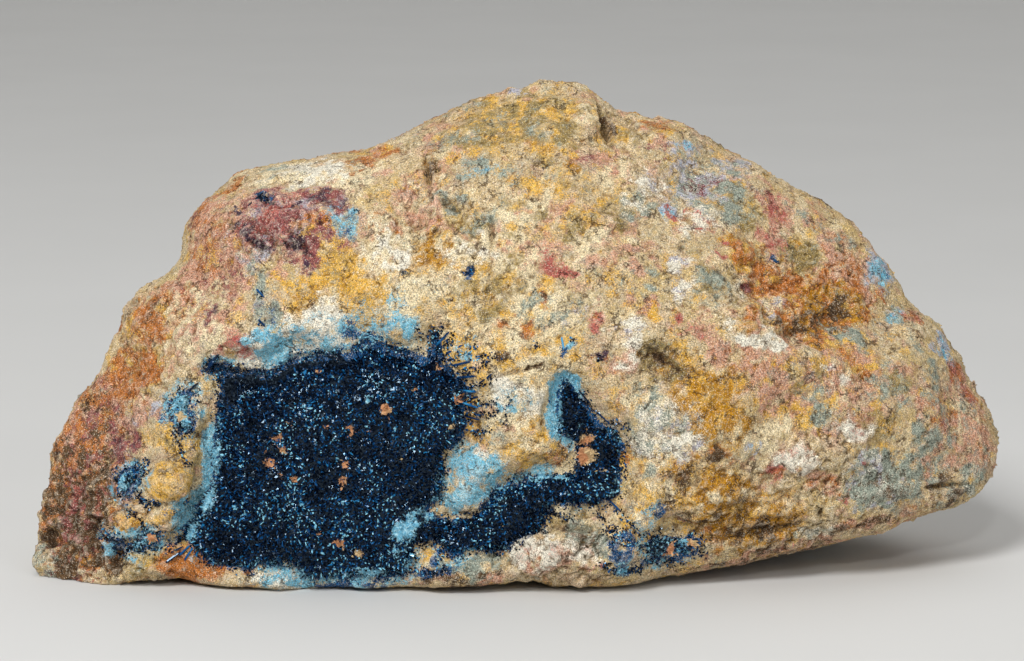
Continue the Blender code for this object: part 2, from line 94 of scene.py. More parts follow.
# Smooth noise over points in metres, features of about the given size in millimetres
def fractalAt(points, size, seed, octaves=3):
    offset = Vector((seed * 7.3, seed * 3.1, seed * 5.7))
    scale = 1.0 / (size * mm)
    return np.array([noise.fractal(Vector(point) * scale + offset, 1.0, 2.0, octaves) for point in points])


# Smooth shifts for points in metres, each of them up to about 1 long
def warpAt(points, size, seed):
    offset = Vector((seed * 2.9, seed * 8.3, seed * 4.1))
    scale = 1.0 / (size * mm)
    return np.array([noise.noise_vector(Vector(point) * scale + offset) for point in points])


# How far (u, v) is inside a closed outline, negative outside it
def insideDistance(u, v, outline):
    nearest = np.full(u.shape, np.inf)
    inside = np.zeros(u.shape, bool)
    corners = np.array(outline)
    for (u0, v0), (u1, v1) in zip(corners, np.roll(corners, -1, axis=0)):
        length = math.hypot(u1 - u0, v1 - v0)
        along = np.clip(((u - u0) * (u1 - u0) + (v - v0) * (v1 - v0)) / length**2, 0.0, 1.0)
        nearest = np.minimum(nearest, np.hypot(u - u0 - along * (u1 - u0), v - v0 - along * (v1 - v0)))
        if v1 != v0:
            inside ^= ((v0 > v) != (v1 > v)) & (u < u0 + (v - v0) * (u1 - u0) / (v1 - v0))
    return np.where(inside, nearest, -nearest)


# Distance from the middle of an ellipse on the face, 1 at its edge
def ellipseOff(u, v, atU, atV, halfWidth, halfHeight, turn=0.0):
    turn = math.radians(turn)
    along = ((u - atU) * math.cos(turn) + (v - atV) * math.sin(turn)) / halfWidth
    beside = ((v - atV) * math.cos(turn) - (u - atU) * math.sin(turn)) / halfHeight
    return np.hypot(along, beside)


# Distance from (u, v) to a line of points
def lineDistance(u, v, line):
    nearest = np.full(u.shape, np.inf)
    for (u0, v0), (u1, v1) in zip(line[:-1], line[1:]):
        length = math.hypot(u1 - u0, v1 - v0)
        along = np.clip(((u - u0) * (u1 - u0) + (v - v0) * (v1 - v0)) / length**2, 0.0, 1.0)
        nearest = np.minimum(nearest, np.hypot(u - u0 - along * (u1 - u0), v - v0 - along * (v1 - v0)))
    return nearest


# Outlines of the crusts on the face, clockwise, by the node that each replaces
mainCrust = (
    (-30.8, 22.7), (-29.8, 23.4), (-28.6, 22.9), (-24.3, 22.4), (-22.3, 24.0), (-20.0, 24.5),
    (-16.7, 24.5), (-14.7, 26.0), (-13.4, 25.2), (-8.7, 24.2), (-8.4, 26.2), (-7.7, 26.4), (-6.7, 23.2),
    (-4.4, 20.5), (-5.1, 18.2), (-4.5, 17.1), (-5.6, 15.2), (-7.4, 14.1), (-6.9, 12.6), (-7.4, 9.6),
    (-8.7, 8.8), (-6.4, 7.6), (-3.7, 8.3), (-2.1, 10.9), (0.7, 11.7), (2.3, 12.3), (5.9, 12.1),
    (5.9, 13.7), (6.3, 15.1), (4.1, 16.5), (3.9, 18.8), (4.5, 21.6), (5.5, 21.6), (7.5, 18.8),
    (8.7, 17.2), (10.0, 16.9), (11.0, 15.3), (10.6, 13.7), (10.8, 10.5), (9.5, 9.3), (7.5, 8.9),
    (3.9, 9.1), (2.7, 6.6), (0.4, 5.4), (-0.8, 4.4), (-4.4, 4.4), (-6.4, 3.6), (-7.9, 5.4),
    (-9.7, 5.2), (-10.3, 3.2), (-11.0, 2.0), (-15.0, 1.7), (-21.0, 1.7), (-22.3, 3.3), (-27.0, 2.6),
    (-30.3, 3.1), (-32.6, 5.0), (-33.4, 6.3), (-32.3, 7.9), (-30.3, 11.6), (-30.3, 16.2),
    (-29.4, 19.9), (-29.6, 21.5),
)
crustOutlines = {
    "clinoclase_crust_main": mainCrust,
    "clinoclase_patch_left_upper": (
        (-34.4, 19.6), (-33.2, 20.7), (-31.9, 20.5), (-32.5, 18.5), (-31.9, 16.6), (-33.4, 16.0),
        (-34.3, 17.4),
    ),
    "clinoclase_patch_left_middle": (
        (-39.7, 12.2), (-38.0, 13.2), (-36.9, 12.4), (-37.8, 10.6), (-39.5, 9.9),
    ),
    "clinoclase_patch_left_lower": (
        (-41.0, 6.6), (-38.8, 5.2), (-36.4, 6.6), (-35.4, 6.3), (-35.8, 5.0), (-38.0, 4.2), (-40.4, 4.6),
    ),
    "clinoclase_patch_lower_right": (
        (12.6, 5.2), (14.0, 6.2), (16.4, 6.0), (18.8, 5.8), (18.4, 4.2), (16.0, 3.4), (13.4, 3.6),
    ),
}

# Stains of the rock: u, v, half width, half height and turn in degrees, then how much of each stain
stainPlaces = (
    # upper left ledge and its edge
    (-21.5, 42.2, 5.5, 1.6, 4, {"cream": 0.95, "white": 0.35, "greyTeal": 0.15}),
    (-24.0, 42.8, 1.8, 0.8, 0, {"greyTeal": 0.35, "cream": 0.5}),
    (-19.0, 43.0, 2.0, 0.8, 5, {"white": 0.85}),
    (-15.8, 43.1, 1.4, 0.9, 0, {"ochre": 0.8, "rust": 0.5}),
    (-13.5, 44.3, 1.8, 0.9, 20, {"rust": 0.6, "ochre": 0.4, "pink": 0.4}),
    (-11.2, 45.8, 1.6, 0.8, 20, {"maroon": 0.6, "lilac": 0.5, "umber": 0.3}),
    (-28.5, 40.8, 1.6, 1.1, 30, {"rust": 0.75, "ochre": 0.3}),
    (-16.0, 41.8, 3.4, 1.4, 5, {"pink": 0.5, "cream": 0.5}),
    # maroon field below it
    (-24.0, 39.3, 4.6, 1.7, 0, {"maroon": 0.48, "pink": 0.9, "crimson": 0.3, "lilac": 0.25}),
    (-24.0, 36.6, 5.4, 3.4, 0, {"pink": 0.75, "maroon": 0.1, "lilac": 0.2}),
    (-24.5, 36.3, 3.8, 2.2, 0, {"maroon": 0.32, "pink": 0.95, "rust": 0.4, "crimson": 0.25, "lilac": 0.2}),
    (-18.8, 39.3, 2.4, 1.3, 0, {"maroon": 0.6, "lilac": 0.4, "purple": 0.3}),
    (-17.3, 37.6, 1.7, 1.5, 0, {"greyTeal": 0.6, "sky": 0.42, "azure": 0.2}),
    (-21.5, 34.8, 1.5, 1.6, 0, {"purple": 0.42, "maroon": 0.6}),
    (-19.2, 35.5, 1.5, 1.6, 0, {"ochre": 0.5, "maroon": 0.45}),
    (-26.3, 36.3, 1.3, 1.6, 0, {"purple": 0.3, "maroon": 0.5}),
    (-25.3, 39.7, 0.8, 0.6, 0, {"azure": 0.8, "purple": 0.5}),
    (-20.5, 37.5, 2.0, 1.5, 0, {"rust": 0.45, "pink": 0.6, "ochre": 0.3}),
    # rosy left shoulder and the grey strip beside it
    (-30.5, 34.5, 3.0, 5.5, 0, {"pink": 0.85, "rust": 0.3, "maroon": 0.14}),
    (-30.8, 28.5, 3.0, 3.8, 0, {"pink": 0.75, "cream": 0.3, "maroon": 0.16}),
    (-32.0, 38.5, 1.6, 2.4, 0, {"rust": 0.5, "pink": 0.7, "maroon": 0.25}),
    (-26.6, 33.0, 1.5, 1.9, 0, {"lilac": 0.35, "greyTeal": 0.4, "pink": 0.4}),
    (-25.4, 28.6, 1.6, 2.5, 0, {"greyTeal": 0.6, "lilac": 0.3, "azure": 0.22}),
    (-30.3, 28.6, 1.1, 0.9, 0, {"maroon": 0.85, "purple": 0.5}),
    (-28.0, 24.9, 1.6, 1.2, -10, {"crimson": 0.55, "pink": 0.8}),
    (-31.0, 25.2, 1.6, 2.6, 0, {"pink": 0.55, "cream": 0.4, "lilac": 0.15}),
    (-28.5, 31.0, 1.6, 2.4, 0, {"pink": 0.7, "maroon": 0.3}),
    # ochre and cream below the maroon field
    (-16.5, 31.8, 5.2, 2.5, -3, {"ochre": 1.0, "golden": 0.15}),
    (-21.8, 30.2, 2.0, 1.9, 0, {"ochre": 0.6, "umber": 0.22, "golden": 0.3}),
    (-12.6, 34.3, 2.8, 2.8, 0, {"cream": 0.85, "white": 0.35}),
    (-11.6, 33.4, 1.1, 1.0, 0, {"white": 1.0}),
    (-19.4, 28.2, 1.7, 2.2, 0, {"cream": 0.8, "white": 0.55}),
    (-14.5, 28.2, 2.8, 1.8, 0, {"ochre": 0.55, "sky": 0.32, "cream": 0.3}),
    (-21.8, 25.6, 4.2, 1.7, 6, {"sky": 0.5, "white": 0.95}),
    (-15.2, 26.0, 1.9, 1.3, 0, {"sky": 0.75, "azure": 0.5}),
    (-10.8, 26.4, 2.1, 1.7, 0, {"sky": 0.55, "cream": 0.4}),
    (-25.0, 25.6, 1.9, 1.3, 10, {"sky": 0.55, "white": 0.6}),
    (-8.3, 34.9, 1.9, 2.0, 0, {"ochre": 0.8, "golden": 0.75}),
    (-7.2, 33.4, 1.0, 0.8, 0, {"umber": 0.55, "golden": 0.6}),
    (-10.2, 30.0, 3.2, 2.0, 0, {"cream": 0.6, "ochre": 0.4, "sky": 0.16}),
    (-10.2, 32.0, 0.8, 0.5, 0, {"greyTeal": 0.5, "azure": 0.3}),
    (-9.5, 39.5, 3.0, 2.8, 0, {"pink": 0.6, "cream": 0.3, "maroon": 0.12}),
    (-12.8, 37.2, 2.2, 1.2, 0, {"rust": 0.35, "pink": 0.4, "cream": 0.3}),
    (-8.6, 42.5, 0.5, 2.2, 8, {"umber": 0.42, "golden": 0.3}),
    (-5.9, 39.2, 1.4, 0.9, -30, {"umber": 0.32, "greyTeal": 0.7}),
    (-7.6, 40.2, 1.0, 0.7, 0, {"umber": 0.4, "greyTeal": 0.5}),
    (-4.2, 37.2, 1.7, 1.3, 0, {"olive": 0.6, "greyTeal": 0.3}),
    (-4.5, 34.2, 3.0, 2.0, 0, {"cream": 0.6, "white": 0.32, "pink": 0.3}),
    (-3.3, 34.6, 0.5, 1.6, 10, {"umber": 0.5, "golden": 0.3}),
    (-2.0, 30.2, 2.6, 2.2, 0, {"ochre": 0.45, "olive": 0.42, "golden": 0.3}),
    (-5.2, 28.6, 2.4, 2.4, 0, {"cream": 0.4, "ochre": 0.4, "umber": 0.2}),
    (-4.6, 32.2, 0.8, 0.5, 0, {"azure": 0.9}),
    (-5.5, 24.8, 1.8, 1.8, 0, {"ochre": 0.6, "sky": 0.3, "umber": 0.2}),
    # washes under the finer stains
    (-43.0, 7.5, 5.0, 6.5, 0, {"umber": 0.52, "maroon": 0.42, "rust": 0.6}),
    (-40.8, 16.5, 4.0, 5.5, -20, {"maroon": 0.2, "rust": 0.34, "umber": 0.14, "pink": 0.3}),
    (28.6, 29.6, 6.0, 3.4, -10, {"rust": 0.45, "ochre": 0.6, "pink": 0.3}),
    (36.0, 11.6, 4.0, 2.4, 0, {"greyTeal": 0.75, "lilac": 0.55}),
    (20.0, 18.4, 3.4, 4.0, -15, {"golden": 0.55, "ochre": 0.4}),
    (22.5, 7.4, 4.6, 2.4, 8, {"golden": 0.55, "umber": 0.3, "ochre": 0.3}),
    (-31.6, 2.6, 4.0, 1.7, 0, {"rust": 0.7, "pink": 0.6, "ochre": 0.3}),
    (-21.0, 25.6, 5.0, 2.0, 6, {"white": 0.7, "cream": 0.3}),
    (-22.5, 24.6, 5.5, 1.6, 8, {"white": 0.95, "sky": 0.3}),
    (2.0, 47.5, 8.0, 4.0, 0, {"ochre": 0.26, "golden": 0.16, "olive": 0.2}),
    (18.0, 40.2, 4.5, 3.0, -30, {"greyTeal": 0.36, "lilac": 0.34}),
    (-1.0, 28.0, 8.0, 7.0, 0, {"cream": 0.3, "ochre": 0.3}),
    (43.5, 15.0, 4.5, 6.0, 10, {"pink": 0.3, "umber": 0.12, "greyTeal": 0.2}),
    (14.5, 12.0, 4.0, 4.5, 0, {"ochre": 0.42, "cream": 0.3}),
    (31.0, 22.0, 9.0, 4.6, -20, {"pink": 0.55, "ochre": 0.2}),
    (3.5, 16.0, 3.5, 5.0, 0, {"ochre": 0.42, "cream": 0.34}),
    # crown
    (1.0, 48.0, 7.0, 3.2, 0, {"olive": 0.24, "ochre": 0.34, "greyTeal": 0.1, "pink": 0.2}),
    (-4.5, 45.8, 3.6, 2.2, 20, {"olive": 0.3, "greyTeal": 0.14, "ochre": 0.3}),
    (0.3, 50.6, 1.2, 0.5, 0, {"lilac": 0.5}),
    (-3.9, 49.0, 0.7, 0.6, 0, {"greyTeal": 0.6}),
    (2.8, 46.2, 2.2, 1.6, 0, {"greyTeal": 0.22, "olive": 0.3}),
    (7.0, 47.6, 1.6, 1.9, 0, {"cream": 0.5, "pink": 0.3}),
    (8.7, 47.0, 0.6, 1.8, 22, {"umber": 0.85}),
    (11.0, 46.2, 1.8, 1.3, -15, {"ochre": 0.6, "olive": 0.4}),
    (10.6, 47.6, 1.9, 0.5, -25, {"umber": 0.55, "olive": 0.5}),
    (14.6, 46.8, 2.4, 1.3, -8, {"rust": 0.4, "pink": 0.4, "ochre": 0.3}),
    (14.0, 44.6, 2.2, 0.9, 0, {"maroon": 0.4, "pink": 0.3, "umber": 0.2}),
    (-7.0, 44.7, 2.8, 2.0, 0, {"pink": 0.5, "cream": 0.22}),
    (-3.2, 42.4, 2.6, 1.1, 0, {"greyTeal": 0.55, "sky": 0.22}),
    (-2.4, 42.8, 0.9, 0.6, 0, {"sky": 0.85}),
    (2.4, 41.0, 3.2, 1.3, 0, {"ochre": 0.5, "rust": 0.15}),
    (7.0, 43.6, 1.7, 1.1, 0, {"maroon": 0.34, "pink": 0.6}),
    (5.6, 42.6, 0.5, 1.3, 0, {"golden": 0.6, "umber": 0.3}),
    (10.0, 42.5, 2.2, 1.7, 0, {"pink": 0.5, "cream": 0.2}),
    (5.0, 37.6, 5.0, 2.6, 0, {"ochre": 0.3, "pink": 0.22, "olive": 0.2}),
    (0.0, 38.2, 3.4, 2.6, 0, {"cream": 0.45, "pink": 0.2, "greyTeal": 0.2}),
    (0.8, 33.6, 3.0, 2.6, 0, {"pink": 0.4, "cream": 0.4, "olive": 0.2}),
    # middle
    (3.4, 34.0, 1.4, 1.9, 0, {"pink": 0.9, "crimson": 0.42}),
    (5.2, 32.7, 1.2, 0.8, 0, {"crimson": 0.85}),
    (2.3, 30.0, 0.9, 0.7, 0, {"rust": 0.75}),
    (7.9, 28.0, 0.9, 1.3, 20, {"crimson": 0.75, "rust": 0.6}),
    (8.7, 27.0, 0.9, 0.6, 0, {"crimson": 0.6, "pink": 0.6}),
    (0.3, 27.2, 1.7, 0.8, 10, {"rust": 0.55, "pink": 0.5}),
    (10.8, 37.4, 1.3, 0.7, -10, {"olive": 0.7, "golden": 0.3}),
    (10.0, 35.2, 4.6, 2.1, -8, {"pink": 0.55, "cream": 0.3, "umber": 0.12}),
    (6.4, 35.4, 1.6, 1.4, 0, {"cream": 0.5, "pink": 0.3}),
    (5.6, 28.5, 2.4, 2.2, 0, {"cream": 0.42, "greyTeal": 0.26, "lilac": 0.2}),
    (1.5, 29.0, 2.0, 2.2, 0, {"cream": 0.4, "greyTeal": 0.32}),
    (2.2, 25.2, 0.6, 0.5, 0, {"azure": 0.85}),
    (4.8, 24.9, 0.6, 0.9, 0, {"azure": 0.75, "sky": 0.6}),
    (8.5, 24.0, 1.0, 0.7, 0, {"purple": 0.6, "rust": 0.5, "azure": 0.3}),
    (11.2, 23.2, 1.4, 1.3, 0, {"pink": 0.6, "white": 0.45}),
    (14.5, 23.4, 2.4, 1.6, -20, {"olive": 0.65, "umber": 0.42, "golden": 0.4}),
    (11.5, 26.2, 1.4, 1.3, 0, {"white": 0.45, "lilac": 0.3}),
    (0.5, 24.0, 3.0, 1.8, 0, {"ochre": 0.4, "cream": 0.3, "umber": 0.22}),
    (0.5, 19.6, 2.4, 2.8, 0, {"cream": 0.6, "white": 0.3}),
    (0.4, 20.0, 1.6, 2.2, 0, {"greyTeal": 0.3, "white": 0.4, "sky": 0.26}),
    (-0.8, 18.7, 0.4, 1.1, 5, {"sky": 0.75}),
    (3.0, 21.5, 1.4, 3.0, 0, {"cream": 0.5, "ochre": 0.3}),
    (2.0, 16.2, 1.3, 1.2, -40, {"ochre": 0.7, "golden": 0.3}),
    (0.6, 13.6, 2.8, 1.2, 0, {"ochre": 0.6, "olive": 0.2}),
    (4.6, 14.0, 1.4, 1.8, 0, {"umber": 0.32, "pink": 0.45, "rust": 0.2}),
    (-4.5, 18.5, 1.4, 3.4, 10, {"ochre": 0.5, "umber": 0.3, "azure": 0.22}),
    (-1.8, 22.4, 2.2, 2.2, 0, {"ochre": 0.5, "umber": 0.26}),
    (-2.5, 16.6, 1.6, 1.6, 0, {"greyTeal": 0.4, "cream": 0.4, "ochre": 0.3}),
    (14.4, 16.6, 3.2, 4.4, 0, {"white": 0.3, "greyTeal": 0.4, "lilac": 0.3, "cream": 0.4}),
    (12.5, 19.8, 2.2, 1.4, 0, {"pink": 0.3, "cream": 0.5}),
    (11.3, 14.0, 1.8, 1.7, 0, {"rust": 0.45, "ochre": 0.6, "umber": 0.26}),
    (18.8, 18.8, 2.0, 3.0, -15, {"golden": 0.95, "ochre": 0.6}),
    (17.4, 22.0, 1.8, 2.0, 0, {"ochre": 0.65, "golden": 0.4, "umber": 0.2}),
    (19.8, 13.6, 1.6, 1.3, 0, {"rust": 0.65, "umber": 0.42}),
    (16.8, 12.2, 1.8, 1.6, 0, {"rust": 0.4, "umber": 0.35, "golden": 0.3}),
    (16.6, 14.8, 1.4, 1.5, 0, {"lilac": 0.4, "white": 0.4}),
    # upper right, pale and violet with red marks
    (12.8, 41.2, 1.5, 1.3, 0, {"white": 0.6, "lilac": 0.3}),
    (12.0, 38.8, 1.4, 1.6, 0, {"greyTeal": 0.5, "white": 0.42}),
    (17.3, 44.2, 1.8, 1.0, -20, {"lilac": 0.6, "sky": 0.3}),
    (21.6, 42.2, 2.8, 1.4, -35, {"lilac": 0.55, "greyTeal": 0.42}),
    (17.2, 41.0, 1.4, 1.4, 0, {"lilac": 0.7, "white": 0.25, "maroon": 0.25}),
    (18.8, 40.5, 1.1, 1.4, 0, {"lilac": 0.3, "maroon": 0.45, "rust": 0.4}),
    (15.0, 38.4, 1.1, 1.3, 0, {"lilac": 0.7, "sky": 0.35}),
    (18.4, 38.0, 2.4, 1.7, -10, {"white": 0.4, "cream": 0.4, "pink": 0.5, "rust": 0.35}),
    (22.8, 38.8, 2.4, 2.3, -20, {"olive": 0.45, "ochre": 0.3, "greyTeal": 0.26}),
    (21.2, 40.2, 1.1, 1.1, 0, {"pink": 0.6, "rust": 0.4}),
    (26.1, 38.9, 1.5, 2.6, 15, {"crimson": 0.5, "pink": 0.95, "maroon": 0.25}),
    (26.2, 35.1, 1.2, 1.8, 0, {"crimson": 0.42, "pink": 0.9, "maroon": 0.1}),
    (28.8, 34.1, 2.0, 1.4, 0, {"olive": 0.85, "golden": 0.42, "ochre": 0.3}),
    (26.2, 33.5, 0.5, 0.4, 0, {"azure": 0.9}),
    (31.0, 36.5, 3.4, 2.4, -40, {"pink": 0.52, "rust": 0.18, "greyTeal": 0.2}),
    (28.5, 38.4, 2.0, 1.1, -40, {"pink": 0.5, "greyTeal": 0.3}),
    (34.0, 32.0, 2.4, 2.6, -40, {"pink": 0.6, "rust": 0.28}),
    (16.2, 33.4, 1.1, 1.1, 0, {"white": 0.6, "lilac": 0.5}),
    (16.9, 30.4, 1.1, 1.3, 0, {"lilac": 0.6, "white": 0.6}),
    (19.0, 30.8, 1.9, 1.9, 0, {"greyTeal": 0.5, "olive": 0.32}),
    (13.6, 31.4, 2.6, 1.5, 0, {"greyTeal": 0.3, "olive": 0.2, "pink": 0.2}),
    (16.9, 27.6, 0.9, 1.3, 20, {"crimson": 0.5, "pink": 0.6}),
    (18.8, 26.0, 1.6, 0.8, -30, {"crimson": 0.32, "pink": 0.5}),
    (12.5, 29.0, 2.4, 1.6, 0, {"ochre": 0.3, "pink": 0.3}),
    # rusty hollow
    (23.0, 34.3, 2.7, 1.3, -18, {"rust": 0.75, "ochre": 0.6, "golden": 0.3}),
    (19.9, 34.1, 0.7, 0.5, 0, {"crimson": 0.85}),
    (22.2, 30.9, 1.4, 1.3, 0, {"cream": 0.6, "white": 0.35, "umber": 0.26}),
    (22.9, 30.7, 0.8, 0.6, 0, {"maroon": 0.7, "rust": 0.6}),
    (26.0, 31.3, 3.4, 1.1, 0, {"rust": 0.6, "pink": 0.4}),
    (28.6, 31.4, 1.2, 0.8, 0, {"rust": 0.95, "golden": 0.3}),
    (32.0, 29.4, 3.2, 2.2, 0, {"rust": 0.8, "golden": 0.5, "umber": 0.1}),
    (25.8, 29.2, 1.9, 1.5, 0, {"pink": 0.9, "cream": 0.55, "lilac": 0.3}),
    (23.6, 28.4, 1.1, 1.3, 0, {"rust": 0.92, "golden": 0.4}),
    (26.6, 27.2, 1.8, 1.3, 0, {"rust": 0.8, "umber": 0.35, "golden": 0.3}),
    (29.8, 27.0, 2.1, 1.9, 0, {"rust": 0.75, "umber": 0.42, "golden": 0.5}),
    (32.8, 28.6, 1.6, 1.2, 0, {"rust": 0.7, "umber": 0.5}),
    (30.4, 30.0, 1.2, 1.1, 0, {"rust": 0.7, "golden": 0.3}),
    (22.3, 26.7, 1.7, 0.7, -28, {"white": 0.95}),
    (25.2, 25.5, 2.0, 0.7, -12, {"white": 0.85, "cream": 0.4}),
    (27.6, 26.0, 1.2, 0.6, 20, {"cream": 0.7, "white": 0.3}),
    (34.0, 26.2, 3.2, 1.6, -10, {"greyTeal": 0.45, "ochre": 0.2}),
    (31.0, 22.9, 1.4, 0.8, 0, {"white": 0.6, "lilac": 0.3}),
    (34.6, 23.2, 3.2, 1.8, -25, {"rust": 0.3, "pink": 0.75, "ochre": 0.15}),
    (24.0, 23.6, 3.4, 2.2, -20, {"pink": 0.7, "rust": 0.2}),
    (23.0, 21.0, 2.2, 1.4, 0, {"umber": 0.22, "pink": 0.3, "ochre": 0.3}),
    # right end
    (36.3, 32.8, 1.8, 2.1, -50, {"sky": 0.4, "lilac": 0.75, "azure": 0.12}),
    (36.7, 32.3, 0.8, 0.8, 0, {"azure": 0.25, "sky": 0.5}),
    (36.6, 30.5, 0.9, 0.9, 0, {"rust": 0.65}),
    (37.8, 28.3, 1.3, 2.2, -40, {"sky": 0.3, "greyTeal": 0.6, "lilac": 0.4}),
    (39.5, 28.0, 1.3, 1.7, -50, {"rust": 0.5, "crimson": 0.3, "umber": 0.25}),
    (42.7, 24.9, 1.7, 1.3, -50, {"sky": 0.42, "lilac": 0.85, "azure": 0.16}),
    (41.0, 22.8, 0.9, 2.6, 20, {"greyTeal": 0.5}),
    (44.2, 21.6, 1.3, 2.3, 20, {"crimson": 0.3, "rust": 0.5, "pink": 0.6, "maroon": 0.2}),
    (45.6, 16.4, 2.6, 4.4, 10, {"pink": 0.8, "rust": 0.2, "maroon": 0.1, "cream": 0.3}),
    (41.0, 14.5, 3.0, 2.4, -35, {"greyTeal": 0.45, "olive": 0.2, "pink": 0.3}),
    (42.6, 18.6, 1.6, 2.4, 20, {"rust": 0.45, "maroon": 0.18, "pink": 0.4}),
    (38.0, 20.4, 3.0, 2.4, -20, {"olive": 0.35, "greyTeal": 0.3, "rust": 0.15}),
    (30.2, 20.0, 1.9, 2.2, 0, {"greyTeal": 0.45, "olive": 0.18}),
    (32.5, 20.7, 1.3, 0.9, 0, {"white": 0.5, "pink": 0.5, "crimson": 0.2}),
    (33.6, 17.4, 1.9, 1.1, 0, {"white": 0.65, "pink": 0.3, "crimson": 0.22}),
    (37.0, 16.8, 2.2, 1.6, -20, {"ochre": 0.35, "olive": 0.35, "umber": 0.15}),
    (27.0, 17.8, 2.8, 1.8, 0, {"pink": 0.42, "ochre": 0.22, "olive": 0.15}),
    (24.5, 15.8, 3.0, 2.4, 0, {"cream": 0.6, "ochre": 0.2}),
    (35.0, 13.2, 1.9, 1.9, 0, {"lilac": 0.6, "white": 0.3, "greyTeal": 0.4}),
    (34.2, 13.0, 0.6, 0.8, 0, {"maroon": 0.6}),
    (37.5, 10.7, 3.6, 1.4, 5, {"greyTeal": 0.7, "white": 0.2, "umber": 0.3}),
    (42.9, 10.2, 1.9, 1.4, 0, {"umber": 0.5, "olive": 0.5, "greyTeal": 0.3}),
    (46.0, 11.2, 1.6, 1.2, 40, {"greyTeal": 0.5, "white": 0.2}),
    # lower right
    (28.2, 13.3, 2.0, 1.9, 0, {"white": 0.6, "pink": 0.7, "crimson": 0.14}),
    (27.3, 14.5, 0.5, 0.8, 0, {"crimson": 0.7}),
    (25.8, 12.2, 0.9, 1.1, 0, {"crimson": 0.42, "rust": 0.65}),
    (32.5, 10.3, 1.1, 1.1, 0, {"crimson": 0.45, "umber": 0.35, "rust": 0.3}),
    (24.0, 15.2, 1.1, 0.8, 0, {"lilac": 0.5, "sky": 0.2}),
    (30.5, 11.5, 1.4, 1.4, 0, {"pink": 0.6, "rust": 0.3}),
    (21.5, 10.6, 3.0, 1.9, 0, {"golden": 0.55, "ochre": 0.6, "cream": 0.4, "umber": 0.15}),
    (26.2, 9.0, 2.2, 1.4, 0, {"cream": 0.4, "ochre": 0.3, "pink": 0.3}),
    (24.6, 6.4, 4.0, 1.3, 10, {"umber": 0.42, "golden": 0.9, "rust": 0.2}),
    (19.8, 6.2, 1.5, 1.5, 0, {"rust": 0.85, "golden": 0.3}),
    (27.2, 5.5, 1.1, 0.8, 0, {"crimson": 0.5, "cream": 0.5}),
    (30.2, 6.9, 1.6, 0.9, 10, {"greyTeal": 0.5, "white": 0.4}),
    (17.3, 7.4, 1.3, 1.3, 0, {"umber": 0.62, "maroon": 0.35, "golden": 0.3}),
    (13.6, 8.8, 1.4, 1.1, 0, {"greyTeal": 0.3, "azure": 0.4, "sky": 0.4}),
    (12.6, 7.2, 1.9, 1.6, 0, {"ochre": 0.6, "cream": 0.3, "sky": 0.3}),
    (15.5, 9.6, 1.6, 1.2, 0, {"ochre": 0.6, "umber": 0.3}),
    (24.0, 3.6, 9.0, 0.9, 10, {"umber": 0.42, "pink": 0.5}),
    (34.5, 7.0, 7.0, 0.9, 12, {"umber": 0.36, "pink": 0.5, "rust": 0.2}),
    # bottom middle
    (1.6, 5.6, 1.9, 1.2, 15, {"white": 0.95, "pink": 0.3}),
    (3.2, 3.9, 4.0, 1.8, -6, {"pink": 0.9, "white": 0.7, "crimson": 0.22}),
    (8.1, 2.9, 0.8, 0.8, 0, {"crimson": 0.6, "pink": 0.8}),
    (4.9, 8.6, 0.9, 1.1, 0, {"cream": 0.95}),
    (7.8, 8.5, 0.8, 0.7, 0, {"cream": 0.7, "pink": 0.6}),
    (6.4, 7.1, 2.0, 0.8, 0, {"olive": 0.3, "cream": 0.6, "ochre": 0.3}),
    (6.9, 5.4, 2.0, 1.7, 0, {"greyTeal": 0.8, "umber": 0.22}),
    (10.8, 4.8, 1.9, 1.1, 0, {"azure": 0.7, "sky": 0.6}),
    (10.2, 2.7, 1.7, 1.2, 0, {"sky": 0.55, "azure": 0.45, "greyTeal": 0.3}),
    (13.8, 3.2, 2.2, 1.0, 0, {"sky": 0.4, "azure": 0.5, "umber": 0.25}),
    (-4.2, 3.2, 3.6, 1.3, 3, {"greyTeal": 0.6, "cream": 0.5, "ochre": 0.22}),
    (-4.5, 1.4, 4.5, 0.8, 0, {"umber": 0.45, "pink": 0.4, "maroon": 0.2}),
    (-4.7, 11.0, 3.1, 3.4, 0, {"sky": 0.9, "white": 0.25}),
    (-5.0, 14.4, 1.9, 1.1, 0, {"greyTeal": 0.45, "white": 0.4, "sky": 0.4}),
    (-23.5, 1.5, 2.7, 1.2, 0, {"white": 0.7, "sky": 0.5}),
    (-9.1, 4.3, 1.1, 1.0, 0, {"ochre": 1.0, "cream": 0.5}),
    (-8.4, 2.5, 2.4, 0.8, 0, {"azure": 0.9, "sky": 0.4}),
    (-7.2, 4.0, 0.6, 1.0, 0, {"azure": 0.8, "sky": 0.3}),
    (-16.5, 1.0, 4.0, 0.9, 0, {"azure": 0.6, "sky": 0.5}),
    (-21.2, 2.0, 1.0, 1.7, 0, {"sky": 0.75}),
    (-27.2, 2.2, 1.0, 0.8, 0, {"rust": 0.6, "ochre": 0.4}),
    # left flank
    (-36.2, 28.0, 2.4, 3.4, -25, {"pink": 0.55, "rust": 0.5, "ochre": 0.26, "umber": 0.12}),
    (-38.0, 22.6, 2.8, 2.0, 10, {"rust": 0.95, "ochre": 0.4}),
    (-37.8, 22.6, 3.4, 2.6, 10, {"rust": 0.7, "ochre": 0.5}),
    (-33.0, 25.6, 2.3, 2.8, -20, {"pink": 0.5, "cream": 0.42, "rust": 0.1}),
    (-42.5, 17.4, 3.0, 4.0, -25, {"pink": 0.6, "rust": 0.42, "umber": 0.16, "maroon": 0.12}),
    (-37.4, 18.6, 2.5, 2.3, 0, {"pink": 0.52, "lilac": 0.2, "cream": 0.26}),
    (-39.2, 15.5, 1.5, 1.6, 20, {"maroon": 0.66, "purple": 0.3, "lilac": 0.3}),
